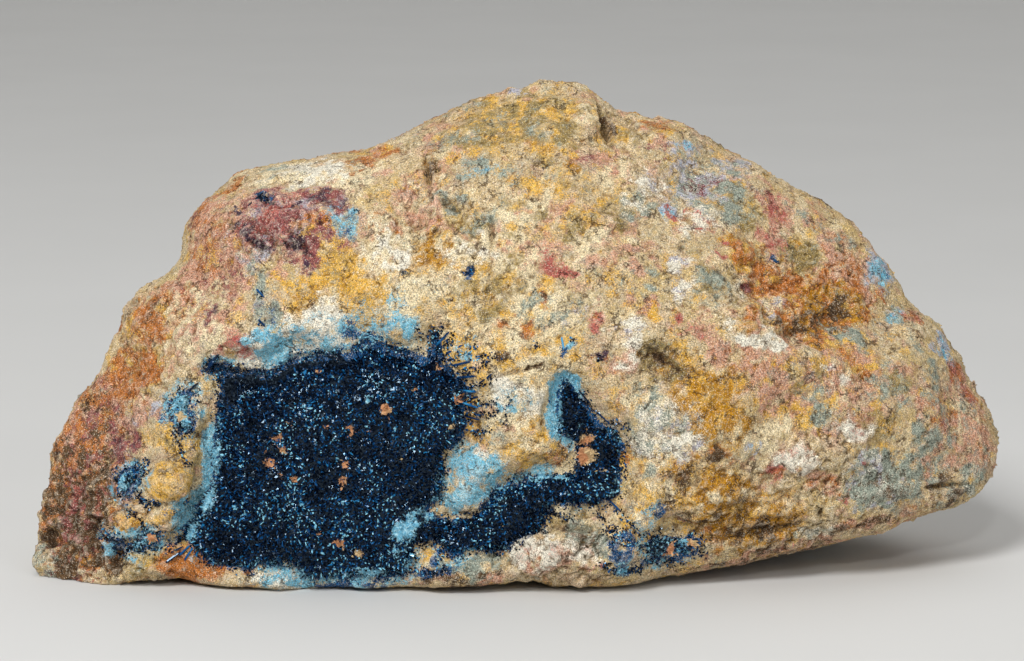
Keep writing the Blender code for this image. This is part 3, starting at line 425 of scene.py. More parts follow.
    (-35.6, 18.8, 1.5, 1.4, 0, {"lilac": 0.45, "pink": 0.5, "azure": 0.16}),
    (-33.2, 18.6, 1.3, 2.3, 0, {"sky": 0.4, "azure": 0.5, "greyTeal": 0.3}),
    (-31.4, 18.5, 0.8, 2.1, 0, {"cream": 0.6, "sky": 0.4}),
    (-33.4, 14.6, 2.1, 1.6, 0, {"ochre": 0.6, "umber": 0.32, "olive": 0.3, "azure": 0.18}),
    (-34.7, 11.7, 2.4, 2.2, 0, {"ochre": 1.0, "golden": 0.15}),
    (-39.8, 12.0, 2.2, 2.1, 0, {"lilac": 0.35, "pink": 0.52, "umber": 0.26}),
    (-38.2, 10.6, 1.2, 1.2, 0, {"azure": 0.6, "sky": 0.4}),
    (-39.2, 7.0, 1.9, 1.6, 0, {"ochre": 0.95, "golden": 0.2}),
    (-35.2, 7.6, 2.4, 1.2, 10, {"ochre": 0.9, "golden": 0.26, "azure": 0.2}),
    (-33.4, 8.7, 1.5, 1.7, 40, {"sky": 0.85}),
    (-35.8, 5.2, 2.8, 1.1, 0, {"azure": 0.42, "umber": 0.5, "greyTeal": 0.4, "olive": 0.2}),
    (-46.3, 8.6, 1.6, 1.5, 0, {"rust": 0.65, "umber": 0.35}),
    (-46.5, 5.8, 1.2, 1.2, 0, {"umber": 0.85, "greyTeal": 0.3}),
    (-46.8, 2.8, 1.6, 1.9, 0, {"greyTeal": 0.65, "cream": 0.35, "olive": 0.4}),
    (-43.7, 9.9, 1.7, 1.7, 0, {"maroon": 0.62, "crimson": 0.3, "rust": 0.4}),
    (-41.6, 8.6, 0.8, 1.2, 0, {"crimson": 0.7, "pink": 0.5}),
    (-42.1, 6.7, 1.6, 1.5, 0, {"umber": 0.68, "maroon": 0.6}),
    (-42.7, 4.0, 2.6, 1.3, 0, {"rust": 0.8, "golden": 0.4, "umber": 0.66}),
    (-44.0, 1.5, 2.4, 1.3, 0, {"rust": 0.75, "maroon": 0.5, "umber": 0.45}),
    (-39.8, 3.8, 1.0, 1.5, 0, {"umber": 0.85}),
    (-45.2, 13.4, 2.0, 2.6, -20, {"rust": 0.5, "pink": 0.4, "umber": 0.2, "olive": 0.15}),
    (-36.7, 3.0, 2.4, 1.2, 0, {"olive": 0.4, "ochre": 0.45, "greyTeal": 0.3}),
    (-31.5, 2.6, 3.4, 1.9, 0, {"rust": 0.72, "pink": 0.95, "ochre": 0.5}),
    (-44.2, 6.0, 0.9, 3.4, 10, {"maroon": 0.5, "crimson": 0.25}),
)

# Veins: stain, width in millimetres, strength and the points they run through
veins = (
    ("purple", 0.28, 1.0, ((-27.5, 37.3), (-26.7, 35.7), (-25.3, 35.0), (-24.0, 34.5))),
    ("purple", 0.25, 0.9, ((-22.5, 36.0), (-21.0, 34.5), (-20.7, 33.3))),
    ("purple", 0.22, 0.9, ((-25.3, 39.5), (-23.4, 39.0), (-21.5, 39.2), (-20.0, 40.0))),
    ("purple", 0.2, 0.8, ((-28.5, 36.5), (-27.5, 37.3), (-27.9, 39.0))),
    ("crimson", 0.22, 0.85, ((14.9, 39.0), (15.3, 38.2), (16.2, 37.2), (17.2, 36.6), (18.6, 36.6))),
    ("crimson", 0.17, 0.8, ((17.0, 38.6), (18.5, 38.2), (19.4, 37.2), (20.8, 36.4))),
    ("crimson", 0.16, 0.7, ((18.8, 35.2), (20.2, 35.0), (21.6, 35.6))),
    ("umber", 0.2, 0.7, ((40.9, 10.6), (42.0, 11.1), (43.2, 10.9), (44.4, 11.5))),
    ("umber", 0.2, 0.7, ((-4.4, 31.0), (-5.4, 30.0), (-6.3, 29.4))),
    ("umber", 0.25, 0.6, ((1.0, 22.5), (2.0, 22.9), (3.6, 23.6))),
    ("umber", 0.3, 0.6, ((13.6, 23.6), (15.0, 22.6), (16.0, 21.2))),
    ("maroon", 0.5, 0.6, ((-44.6, 7.6), (-44.9, 5.0), (-44.2, 2.8))),
)

# Stains that the sides and the back carry: how many, and their half widths in millimetres
backStains = {
    "seed": 41,
    "kinds": {
        "golden": (9, 1.5, 5.0), "pink": (14, 3.0, 8.0), "ochre": (14, 2.0, 6.0), "rust": (14, 2.0, 7.0),
        "olive": (8, 2.0, 5.0), "umber": (10, 1.0, 4.0), "cream": (10, 2.0, 6.0), "white": (6, 1.0, 3.0),
        "lilac": (6, 1.0, 4.0),
        "greyTeal": (9, 1.5, 4.5), "maroon": (7, 1.0, 3.5), "crimson": (5, 0.6, 1.8), "sky": (7, 0.8, 2.6),
        "azure": (6, 0.4, 1.2),
    },
}
stainNames = tuple(backStains["kinds"]) + ("purple",)
# How much of each stain is strewn all over, and the sizes in millimetres of the mottling
mottling = {
    "strewn": {
        "pink": 0.5, "ochre": 0.5, "cream": 0.5, "rust": 0.22, "golden": 0.24, "olive": 0.4, "lilac": 0.16,
        "greyTeal": 0.32, "white": 0.16, "maroon": 0.1, "crimson": 0.06, "umber": 0.2, "sky": 0.05,
        "azure": 0.03, "purple": 0.03,
    },
    "sizes": (1.3, 3.0),
    "gain": 1.3,
}


# Breaks the stains up at two sizes and strews a little of each over the rock
def mottle(shares, points):
    small, wide = mottling["sizes"]
    for number, name in enumerate(stainNames):
        fine = fractalAt(points, small, 80 + number)
        spots = smoothStep(0.12, 0.5, 0.6 * fine + 0.8 * fractalAt(points, wide, 100 + number, 2))
        full = 1.0 - (1.0 - shares[name]) ** mottling["gain"]
        strewn = mottling["strewn"][name] * spots
        shares[name] = np.clip(full * (1.0 + 1.1 * fine) + strewn * (1.0 - full), 0.0, 1.0)


# Share of each stain at points in metres; facing is 1 where the surface is turned to the eye
def stainShares(points, facing, surface):
    bent = points + 1.5 * mm * warpAt(points, 3.6, 3) + 0.9 * mm * warpAt(points, 1.4, 5)
    bent += 0.4 * mm * warpAt(points, 0.5, 6)
    shares = {name: np.zeros(len(points)) for name in stainNames}
    for u, v, halfWidth, halfHeight, turn, stains in stainPlaces:
        share = patchShare(bent, u, v, halfWidth, halfHeight, turn, surface)
        for name, strength in stains.items():
            shares[name] = 1.0 - (1.0 - shares[name]) * (1.0 - strength * share)
    for name in stainNames:
        shares[name] *= smoothStep(-0.35, 0.05, facing)
    u, v = faceCoords(points + 0.35 * mm * warpAt(points, 0.9, 8))
    broken = smoothStep(-0.35, 0.1, fractalAt(points, 0.8, 9, 2))
    for name, width, strength, line in veins:
        share = strength * broken * (1.0 - smoothStep(0.4 * width, 1.3 * width, lineDistance(u, v, line)))
        shares[name] = np.maximum(shares[name], share * smoothStep(0.0, 0.3, facing))
    return shares


# Share of one patch: 1 in its middle, 0 past a quarter outside its edge
def patchShare(points, u, v, halfWidth, halfHeight, turn, surface):
    way = faceRay(u, v)
    hit = surface.ray_cast(Vector(eye * mm), way)[0]
    if hit is None:
        hit = surface.find_nearest(Vector(eye * mm) + way * faceView["distance"] * mm)[0]
    off = (points - np.array(hit)) / mm
    turn = math.radians(turn)
    sideways = off @ across
    upwards = off @ rise
    along = (sideways * math.cos(turn) + upwards * math.sin(turn)) / halfWidth
    beside = (upwards * math.cos(turn) - sideways * math.sin(turn)) / halfHeight
    deep = (off @ sight) / (1.3 * max(halfWidth, halfHeight))
    return 1.0 - smoothStep(0.3, 1.6, np.sqrt(along**2 + beside**2 + deep**2))


# Adds stains to the sides and the back, at places drawn at random
def addBackStains(shares, points, facing):
    random = np.random.default_rng(backStains["seed"])
    hidden = np.flatnonzero(facing < 0.0)
    bent = points + 4.0 * mm * warpAt(points, 7.0, 13) + 2.4 * mm * warpAt(points, 2.6, 15)
    bent += 0.8 * mm * warpAt(points, 0.9, 16)
    behind = 1.0 - smoothStep(-0.1, 0.35, facing)
    kinds = list(backStains["kinds"])
    for name, (count, least, most) in backStains["kinds"].items():
        for _ in range(count):
            centre = points[random.choice(hidden)]
            size = random.uniform(least, most)
            strength = random.uniform(0.35, 0.9)
            off = np.linalg.norm((bent - centre) * random.uniform(0.7, 1.5, 3), axis=1) / (size * mm)
            share = strength * (1.0 - smoothStep(0.2, 1.6, off)) * behind
            second = kinds[random.integers(len(kinds))]
            shares[name] = np.maximum(shares[name], share)
            shares[second] = np.maximum(shares[second], 0.35 * share)


def setFloats(mesh, name, values):
    layer = mesh.attributes.new(name, "FLOAT", "POINT")
    layer.data.foreach_set("value", np.asarray(values, np.float32))


def getFloats(mesh, name):
    values = np.zeros(len(mesh.vertices), np.float32)
    mesh.attributes[name].data.foreach_get("value", values)
    return values


def meshPoints(mesh):
    flat = np.zeros(len(mesh.vertices) * 3, np.float32)
    mesh.vertices.foreach_get("co", flat)
    return flat.reshape(-1, 3).astype(float)


def meshNormals(mesh):
    flat = np.zeros(len(mesh.vertices) * 3, np.float32)
    mesh.vertex_normals.foreach_get("vector", flat)
    return flat.reshape(-1, 3).astype(float)


def movePoints(mesh, points):
    mesh.vertices.foreach_set("co", np.asarray(points, np.float32).ravel())
    mesh.update()


def meshEdges(mesh):
    flat = np.zeros(len(mesh.edges) * 2, np.int64)
    mesh.edges.foreach_get("vertices", flat)
    return flat.reshape(-1, 2)


# Mean of each point's neighbours, repeated
def blurred(values, edges, rounds):
    counts = np.bincount(edges.ravel(), minlength=len(values)).astype(float)
    counts = counts.reshape((-1,) + (1,) * (values.ndim - 1))
    for _ in range(rounds):
        total = np.zeros_like(values)
        np.add.at(total, edges[:, 0], values[edges[:, 1]])
        np.add.at(total, edges[:, 1], values[edges[:, 0]])
        values = 0.5 * values + 0.5 * total / counts
    return values


# The mesh of a bmesh that is used up by it
def meshOf(bm, name):
    mesh = bpy.data.meshes.new(name)
    bm.to_mesh(mesh)
    bm.free()
    return mesh


# The evaluated mesh of an object that is used up by it
def plainMesh(holder):
    bpy.context.view_layer.update()
    graph = bpy.context.evaluated_depsgraph_get()
    made = bpy.data.meshes.new_from_object(
        holder.evaluated_get(graph), preserve_all_data_layers=True, depsgraph=graph
    )
    bpy.data.objects.remove(holder)
    return made


def linkedObject(name, data):
    made = bpy.data.objects.new(name, data)
    bpy.context.scene.collection.objects.link(made)
    return made


# Rock: a fine skin over the solid's form, refined on the face, with the relief of broken rock
rockShape = {
    "voxel": 0.5,
    "smoothing": 6,  # rounds before the face is refined
    "faceSmoothing": 2,  # rounds after it
    "swell": 0.16,
    "slack": (0.25, 0.25, 0.15),  # how far the relief may pass the box of the solids
    "nearRelief": (3, 0.05),  # rounds of blur and the height that counts as full, for the painted shade in hollows and painted highlight on ridges
    "wideRelief": (16, 0.22),
    "lumps": (0.34, 3.6),  # height and size in millimetres
    "knobs": (0.2, 1.4),
    "grain": (0.10, 0.5),
    "cracks": (0.42, 2.7),
    "crumbs": (0.85, 1.5),
    "pits": (0.16, 0.8),
    "ledge": 0.55,  # height of the overhanging lip
    "baseHold": 0.9,  # the relief fades out this near to the base
}
# Places with a crunchier relief: u, v, half width, half height and strength
roughPlaces = (
    (27.0, 30.0, 7.5, 4.5, 0.7), (-24.0, 37.0, 6.0, 3.5, 0.7), (-35.0, 10.0, 4.0, 3.5, 0.7),
    (-41.0, 7.0, 8.0, 7.0, 0.9), (5.0, 5.0, 7.0, 4.0, 0.8), (24.0, 9.0, 9.0, 5.0, 0.7),
    (-8.0, 36.0, 5.0, 6.0, 0.6), (31.0, 14.0, 5.0, 4.0, 0.6), (-36.0, 26.0, 5.0, 7.0, 0.6),
    (10.0, 47.0, 3.0, 3.0, 0.6),
)


# A merged copy of a solid of the part
def copyOfNode(name):
    bm = bmesh.new()
    bm.from_mesh(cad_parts[name].data)
    bmesh.ops.remove_doubles(bm, verts=bm.verts, dist=1e-6)
    return meshOf(bm, name + "Copy")


# The same form with small even faces
def evenSkin(mesh, voxel):
    holder = linkedObject("evenSkin", mesh)
    skin = holder.modifiers.new("evenSkin", "REMESH")
    skin.mode = "VOXEL"
    skin.voxel_size = voxel * mm
    return plainMesh(holder)


# Splits the faces that are turned to the eye
def refineFace(mesh):
    bm = bmesh.new()
    bm.from_mesh(mesh)
    bm.normal_update()
    towards = Vector(-sight)
    edges = [edge for edge in bm.edges if any(face.normal.dot(towards) > -0.05 for face in edge.link_faces)]
    bmesh.ops.subdivide_edges(bm, edges=edges, cuts=1, use_grid_fill=True)
    bmesh.ops.triangulate(bm, faces=[face for face in bm.faces if len(face.verts) > 4])
    bm.to_mesh(mesh)
    bm.free()


def roughShare(u, v):
    share = np.zeros(u.shape)
    for *place, strength in roughPlaces:
        off = ellipseOff(u, v, *place)
        share = np.maximum(share, strength * (1.0 - smoothStep(0.6, 1.3, off)))
    return share


# Height of the relief at each point, in millimetres
def reliefAt(points, facing):
    u, v = faceCoords(points)
    behind = 0.3 + 0.35 * smoothStep(-0.2, 0.4, fractalAt(points, 9.0, 12, 2))
    rough = np.where(facing > 0.0, roughShare(u, v), behind)
    calm = smoothStep(0.6, -0.4, insideDistance(u, v, mainCrust))
    calm = np.where(facing > 0.0, calm, 1.0)
    lumps, lumpSize = rockShape["lumps"]
    knobs, knobSize = rockShape["knobs"]
    grain, grainSize = rockShape["grain"]
    cracks, crackSize = rockShape["cracks"]
    crumbs, crumbSize = rockShape["crumbs"]
    pits, pitSize = rockShape["pits"]
    bent = points + 0.5 * mm * warpAt(points, 1.4, 31)
    height = lumps * (0.7 + 0.6 * rough) * fractalAt(points, lumpSize, 1)
    height += knobs * (0.6 + 0.8 * rough) * fractalAt(points, knobSize, 2)
    height += grain * fractalAt(points, grainSize, 4, 2)
    split = 1.0 - smoothStep(0.0, 0.09, np.abs(fractalAt(bent, crackSize, 6)))
    height -= cracks * (0.35 + rough) * split * smoothStep(-0.15, 0.25, fractalAt(points, 7.0, 7, 1))
    height += crumbs * rough * (np.abs(fractalAt(bent, crumbSize, 10)) - 0.22)
    height -= pits * smoothStep(0.35, 0.75, fractalAt(points, pitSize, 9, 2))
    return height * (0.3 + 0.7 * calm) + handRelief(u, v) * smoothStep(0.0, 0.25, facing)


# Lumps and hollows seen singly: u, v, half width, half height, turn in degrees and height
handLumps = (
    (-4.6, 11.0, 2.6, 3.2, 0, 0.9), (-34.9, 11.6, 2.2, 2.0, 0, 1.0), (-39.4, 6.9, 1.7, 1.4, 0, 0.8),
    (-35.6, 7.6, 1.9, 1.0, 10, 0.7), (2.6, 4.3, 3.8, 2.0, -8, 0.7), (8.1, 2.9, 0.9, 0.8, 0, 0.5),
    (4.9, 8.6, 0.8, 1.0, 0, 0.9), (7.8, 8.5, 0.7, 0.6, 0, 0.7), (11.2, 23.2, 1.3, 1.2, 0, 0.6),
    (25.8, 29.2, 1.7, 1.2, 0, 0.8), (22.6, 34.3, 1.6, 1.0, -20, 0.6), (26.5, 32.2, 1.8, 0.9, -15, 0.5),
    (29.9, 30.9, 1.3, 0.9, 0, 0.5), (23.6, 28.2, 1.0, 1.3, 0, 0.5), (28.0, 26.2, 1.4, 1.2, 0, -0.9),
    (31.6, 27.8, 1.6, 1.0, 0, -0.7), (24.4, 26.2, 2.6, 0.5, -25, 0.5), (7.1, 47.5, 1.2, 1.8, 10, 0.7),
    (8.9, 46.8, 0.6, 1.9, 22, -1.2), (10.8, 47.4, 1.8, 0.4, -25, -0.7), (-8.7, 41.5, 0.4, 2.6, 12, -0.8),
    (-6.4, 38.9, 1.2, 0.5, -35, -0.8), (-9.6, 39.6, 2.0, 2.0, 0, 0.5), (-2.3, 36.4, 0.4, 1.4, 0, -0.5),
    (-46.4, 5.8, 1.2, 1.1, 0, -1.0), (-42.2, 6.7, 1.3, 1.3, 0, -1.0), (-39.9, 3.8, 0.8, 1.2, 0, -0.9),
    (-46.8, 2.9, 1.4, 1.6, 0, 0.5), (-39.6, 12.2, 1.2, 1.1, 0, 0.7), (-41.4, 11.2, 1.0, 0.9, 0, 0.6),
    (-38.6, 14.6, 1.2, 1.0, 0, 0.5), (-25.0, 36.2, 1.6, 0.4, -35, -0.5),
    (-21.2, 35.0, 0.6, 1.2, 20, -0.6), (-24.0, 38.9, 3.2, 0.3, 0, -0.5),
    (17.0, 37.6, 2.0, 0.4, -30, -0.5), (19.2, 38.0, 1.2, 1.0, 0, 0.4), (9.6, 37.4, 3.6, 0.5, -12, 0.4),
    (14.8, 23.6, 2.6, 0.5, -35, -0.5), (6.3, 6.7, 2.0, 0.5, 0, -0.8), (42.9, 11.0, 2.0, 0.35, 5, -0.7),
    (28.2, 13.4, 1.4, 1.4, 0, 0.5), (24.0, 6.2, 3.4, 0.7, 10, -0.8), (26.5, 8.8, 2.4, 1.0, 0, 0.5),
    (21.0, 10.4, 1.8, 1.2, 0, 0.5), (-38.3, 9.2, 1.3, 0.5, 20, -0.7), (-30.5, 41.0, 1.5, 0.8, 35, 0.4),
    (-21.5, 41.2, 5.0, 0.4, 4, -0.3), (12.6, 7.6, 1.3, 1.0, 0, 0.5), (0.5, 22.5, 2.6, 0.35, 15, -0.4),
    (2.0, 19.0, 0.5, 2.6, 8, 0.4), (37.5, 10.6, 3.0, 0.9, 5, 0.4),
)


def handRelief(u, v):
    height = np.zeros(u.shape)
    for *place, lump in handLumps:
        height += lump * (1.0 - smoothStep(0.35, 1.35, ellipseOff(u, v, *place)))
    return height


# The overhanging lip along the upper edge of the main hollow
def lipHeight(points, facing):
    u, v = faceCoords(points)
    inside = insideDistance(u, v, mainCrust)
    upper = smoothStep(19.0, 22.5, v) * smoothStep(-3.0, -10.0, u) * smoothStep(0.0, 0.3, facing)
    left = smoothStep(-27.0, -30.0, u) * smoothStep(10.0, 13.0, v) * smoothStep(0.0, 0.3, facing)
    rim = smoothStep(-2.2, -0.9, inside) * smoothStep(0.35, -0.35, inside)
    return rockShape["ledge"] * rim * np.maximum(upper, 0.4 * left)


def smoothMesh(mesh, rounds):
    points = meshPoints(mesh)
    movePoints(mesh, keepBase(points, blurred(points, meshEdges(mesh), rounds)))


# How far each point stands out from the blurred form, 1 at the full height
def standsOut(points, normals, edges, rounds, full):
    return ((points - blurred(points, edges, rounds)) * normals).sum(axis=1) / (full * mm)


def makeRock():
    mesh = evenSkin(copyOfNode("host_rock"), rockShape["voxel"])
    smoothMesh(mesh, rockShape["smoothing"])
    refineFace(mesh)
    smoothMesh(mesh, rockShape["faceSmoothing"])
    points = meshPoints(mesh)
    normals = meshNormals(mesh)
    edges = meshEdges(mesh)
    facing = blurred(normals, edges, 6) @ -sight
    height = rockShape["swell"] + reliefAt(points, facing) + lipHeight(points, facing)
    height *= smoothStep(0.0, rockShape["baseHold"] * mm, points[:, 2])
    moved = points + normals * height[:, None] * mm
    slack = np.array(rockShape["slack"]) * mm
    moved = np.clip(moved, np.array(cadBox[0]) - slack, np.array(cadBox[1]) + slack)
    movePoints(mesh, keepBase(points, moved))
    points = meshPoints(mesh)
    surface = BVHTree.FromPolygons([Vector(p) for p in points], [tuple(f.vertices) for f in mesh.polygons])
    shares = stainShares(points, facing, surface)
    addBackStains(shares, points, facing)
    mottle(shares, points)
    addRims(shares, points, facing)
    for name in stainNames:
        setFloats(mesh, "stain_" + name, shares[name])
    normals = meshNormals(mesh)
    # how far the surface stands out; the rock's finish turns it into painted shade in hollows and painted
    # highlight on ridges
    near = standsOut(points, normals, edges, *rockShape["nearRelief"])
    wide = standsOut(points, normals, edges, *rockShape["wideRelief"])
    fading = 0.4 + 0.6 * smoothStep(-0.2, 0.1, facing)
    setFloats(mesh, "relief", np.clip((0.5 * near + 0.5 * wide) * fading, -1.0, 1.0))
    setFloats(mesh, "facing", facing)
    mesh.shade_smooth()
    print("rock:", len(mesh.vertices), "points,", len(mesh.polygons), "faces")
    return mesh, surface


# Points of the flat base stay on it
def keepBase(before, after):
    onBase = before[:, 2] < 0.05 * mm
    after = after.copy()
    after[onBase] = before[onBase]
    after[:, 2] = np.where(onBase, 0.0, np.maximum(after[:, 2], 0.02 * mm))
    return after


# Sky blue rims round the crusts, broken up along their length
def addRims(shares, points, facing):
    u, v = faceCoords(points + 0.5 * mm * warpAt(points, 1.0, 21) + 0.2 * mm * warpAt(points, 0.4, 22))
    front = smoothStep(0.0, 0.2, facing)
    broken = fractalAt(points, 2.4, 23, 2)
    left = smoothStep(-26.5, -29.5, u) * smoothStep(5.0, 8.0, v) * smoothStep(18.5, 16.0, v)
    top = smoothStep(20.0, 23.0, v) * smoothStep(-6.0, -12.0, u)
    bottom = smoothStep(5.0, 3.0, v) * smoothStep(-2.0, -8.0, u) * smoothStep(-27.5, -24.5, u)
    spit = smoothStep(2.0, 3.5, u) * smoothStep(7.5, 5.5, u)
    spit *= smoothStep(14.0, 16.5, v) * smoothStep(23.0, 22.0, v)
    arm = smoothStep(-6.0, -3.0, u) * smoothStep(4.5, 3.5, u)
    arm *= smoothStep(9.0, 10.5, v) * smoothStep(14.0, 13.0, v)
    for name, outline in crustOutlines.items():
        inside = insideDistance(u, v, outline)
        band = smoothStep(-1.5, -0.4, inside) * smoothStep(0.8, 0.1, inside)
        strength = 0.4 + 0.6 * broken
        if outline is mainCrust:
            strength = 0.12 + 0.35 * broken + 0.85 * left + 0.3 * top + 0.5 * bottom + 0.9 * spit + 0.5 * arm
        shares["sky"] = np.maximum(shares["sky"], np.clip(strength, 0.0, 1.0) * band * front)
        shares["azure"] = np.maximum(shares["azure"], 0.95 * smoothStep(-0.25, 0.35, inside) * front)


# Crusts: a lumpy sheet on the floor of each hollow, its edge sunk in the rock
crustShape = {
    "cell": 0.36,
    "mainHeight": 1.15,
    "smallHeight": 0.75,
    "lumps": (0.35, 1.7),
    "edgeWander": ((0.5, 2.2), (0.3, 0.7)),  # reach and size
    "smoothing": 4,
    "sunk": 0.35,
    "thickness": 0.8,
    "lowest": 0.15,  # the sheet ends this high above the floor
}
# Bare flecks of rock that show through the main crust: u, v, half width, half height and strength
bareFlecks = (
    (-19.5, 22.3, 0.35, 0.25, 0.8), (-23.8, 15.8, 0.7, 0.3, 0.9), (-24.4, 13.3, 0.8, 0.7, 0.62),
    (-23.1, 14.6, 0.35, 0.5, 0.7), (-25.0, 14.5, 0.3, 0.4, 0.6), (-23.4, 12.0, 0.5, 0.3, 0.6),
    (-25.8, 12.6, 0.3, 0.3, 0.5), (-13.0, 18.7, 0.7, 0.6, 1.0), (-10.0, 20.7, 0.3, 0.3, 0.8),
    (-7.7, 22.7, 0.4, 0.3, 0.8), (-6.2, 22.8, 0.5, 0.3, 0.8), (-15.5, 4.3, 0.5, 0.4, 1.0),
    (-17.4, 5.4, 0.5, 0.4, 1.0), (-16.9, 13.0, 0.35, 0.5, 0.8), (-16.4, 16.5, 0.3, 0.7, 0.7),
    (-18.9, 16.8, 0.3, 0.4, 0.7), (-17.2, 11.5, 0.4, 0.3, 0.6), (-19.7, 6.4, 0.25, 0.25, 0.8),
    (-22.5, 17.2, 0.4, 0.3, 0.6), (-14.5, 16.6, 0.5, 0.3, 0.5), (-22.0, 11.6, 0.3, 0.4, 0.7),
    (-5.8, 19.6, 0.5, 0.4, 0.8), (-6.4, 17.0, 0.4, 0.3, 0.7), (7.0, 14.0, 1.2, 1.0, 0.8),
    (7.2, 15.8, 0.8, 0.6, 0.8), (-9.0, 4.3, 1.1, 0.9, 1.0), (5.0, 8.6, 0.9, 1.0, 1.0),
    (8.8, 12.6, 0.5, 0.3, 0.5), (-1.5, 7.0, 0.5, 0.3, 0.5), (-27.0, 19.5, 0.3, 0.2, 0.5),
    (-11.5, 13.5, 0.3, 0.3, 0.5),
)


# Paler blue growth within the crusts: u, v, half width, half height, turn in degrees and strength
paleGrowth = (
    (-9.3, 8.0, 3.4, 1.1, 28, 1.0), (-11.2, 5.8, 1.5, 2.4, 0, 0.8), (-8.0, 2.8, 3.0, 0.8, 0, 0.7),
    (-15.0, 2.2, 4.0, 0.7, 0, 0.6), (-33.0, 6.8, 1.6, 1.6, 0, 0.8), (-30.6, 9.6, 0.7, 2.4, -15, 0.8),
    (-29.8, 15.0, 0.6, 5.0, 0, 0.75), (-14.5, 25.2, 2.2, 0.9, 0, 0.7), (-20.0, 24.2, 5.0, 0.5, 5, 0.5),
    (4.4, 18.6, 0.5, 2.8, 5, 1.0), (5.0, 21.4, 0.5, 0.6, 0, 0.9), (3.5, 12.0, 3.2, 0.5, 0, 0.8),
    (10.4, 11.2, 0.6, 1.6, 0, 0.8), (6.5, 17.5, 0.4, 0.9, 0, 0.6), (-14.6, 19.6, 0.3, 0.6, -35, 1.0),
    (16.0, 4.4, 3.0, 0.6, 0, 0.4), (-33.2, 18.2, 0.7, 1.6, 0, 0.6), (-38.2, 11.4, 0.9, 0.7, 0, 0.6),
    (-6.0, 7.6, 1.6, 0.6, 0, 0.6), (-24.0, 3.6, 3.0, 0.5, 0, 0.4),
)


def fleckShare(u, v):
    share = np.zeros(u.shape)
    for *place, strength in bareFlecks:
        off = ellipseOff(u, v, *place)
        share = np.maximum(share, strength * (1.0 - smoothStep(0.7, 1.25, off)))
    return share


# A grid over an outline with a wandering edge, laid on the rock, closed below it
def makeCrustSheet(name, outline, surface, height):
    corners = np.array(outline)
    low = corners.min(axis=0) - 1.0
    counts = np.ceil((corners.max(axis=0) + 1.0 - low) / crustShape["cell"]).astype(int)
    columns, rows = np.meshgrid(np.arange(counts[0] + 1), np.arange(counts[1] + 1), indexing="ij")
    u = low[0] + columns * crustShape["cell"]
    v = low[1] + rows * crustShape["cell"]
    flat = np.stack([u.ravel(), v.ravel(), np.zeros(u.size)], axis=1) * mm
    inside = insideDistance(u.ravel(), v.ravel(), outline)
    for reach, size in crustShape["edgeWander"]:
        inside = inside + reach * fractalAt(flat, size, len(outline), 2)
    inside = inside.reshape(u.shape)
    bm = bmesh.new()
    share = bm.verts.layers.float.new("depthInside")
    made = {}
    # each grid point that is inside the outline, laid on the rock
    for i, j in zip(*np.nonzero(inside > -0.05)):
        place = surface.ray_cast(Vector(eye * mm), faceRay(u[i, j], v[i, j]))[0]
        if place is None:
            continue
        made[i, j] = bm.verts.new(place)
        made[i, j][share] = inside[i, j]
    for i, j in list(made):
        ring = [made.get(key) for key in ((i, j), (i + 1, j), (i + 1, j + 1), (i, j + 1))]
        if None not in ring:
            bm.faces.new(ring)
    bmesh.ops.delete(bm, geom=[vertex for vertex in bm.verts if not vertex.link_faces], context="VERTS")
    bm.normal_update()
    if sum(face.normal.dot(Vector(sight)) for face in bm.faces) > 0:
        bmesh.ops.reverse_faces(bm, faces=bm.faces)
    for _ in range(crustShape["smoothing"]):
        bmesh.ops.smooth_vert(
            bm, verts=bm.verts, factor=0.5, use_axis_x=True, use_axis_y=True, use_axis_z=True
        )
    raiseSheet(bm, share, height)
    return meshOf(bm, name + "Sheet")


# Lifts the sheet inside its edge, with lumps, and closes it below
def raiseSheet(bm, share, height):
    bm.normal_update()
    towards = Vector(-sight)
    verts = list(bm.verts)
    points = np.array([vertex.co for vertex in verts])
    lumpHeight, lumpSize = crustShape["lumps"]
    lumps = lumpHeight * fractalAt(points, lumpSize, 17)
    for vertex, lump in zip(verts, lumps):
        u, v = faceCoords(np.array([vertex.co]))
        shaded = float(smoothStep(19.5, 22.0, v[0]) * smoothStep(-5.0, -9.0, u[0]))
        rim = float(smoothStep(-0.05, 1.2 + 2.2 * shaded, vertex[share]))
        way = (vertex.normal + towards).normalized()
        vertex.co += way * (height * rim - crustShape["sunk"] * (1.0 - rim) + float(lump) * rim) * mm
    # the underside and the sides, in a fixed order so that the crystals grow the same each time
    down = Vector(sight) * crustShape["thickness"] * mm
    top = list(bm.faces)
    border = [loop for edge in bm.edges if edge.is_boundary for loop in edge.link_loops]
    sides = [(loop.vert, loop.link_loop_next.vert) for loop in border]
    under = {vertex: bm.verts.new(vertex.co + down) for vertex in verts}
    for face in top:
        bm.faces.new([under[vertex] for vertex in reversed(face.verts)])
    for start, end in sides:
        bm.faces.new((end, start, under[start], under[end]))
    for vertex in bm.verts:
        vertex.co.z = max(vertex.co.z, crustShape["lowest"] * mm)


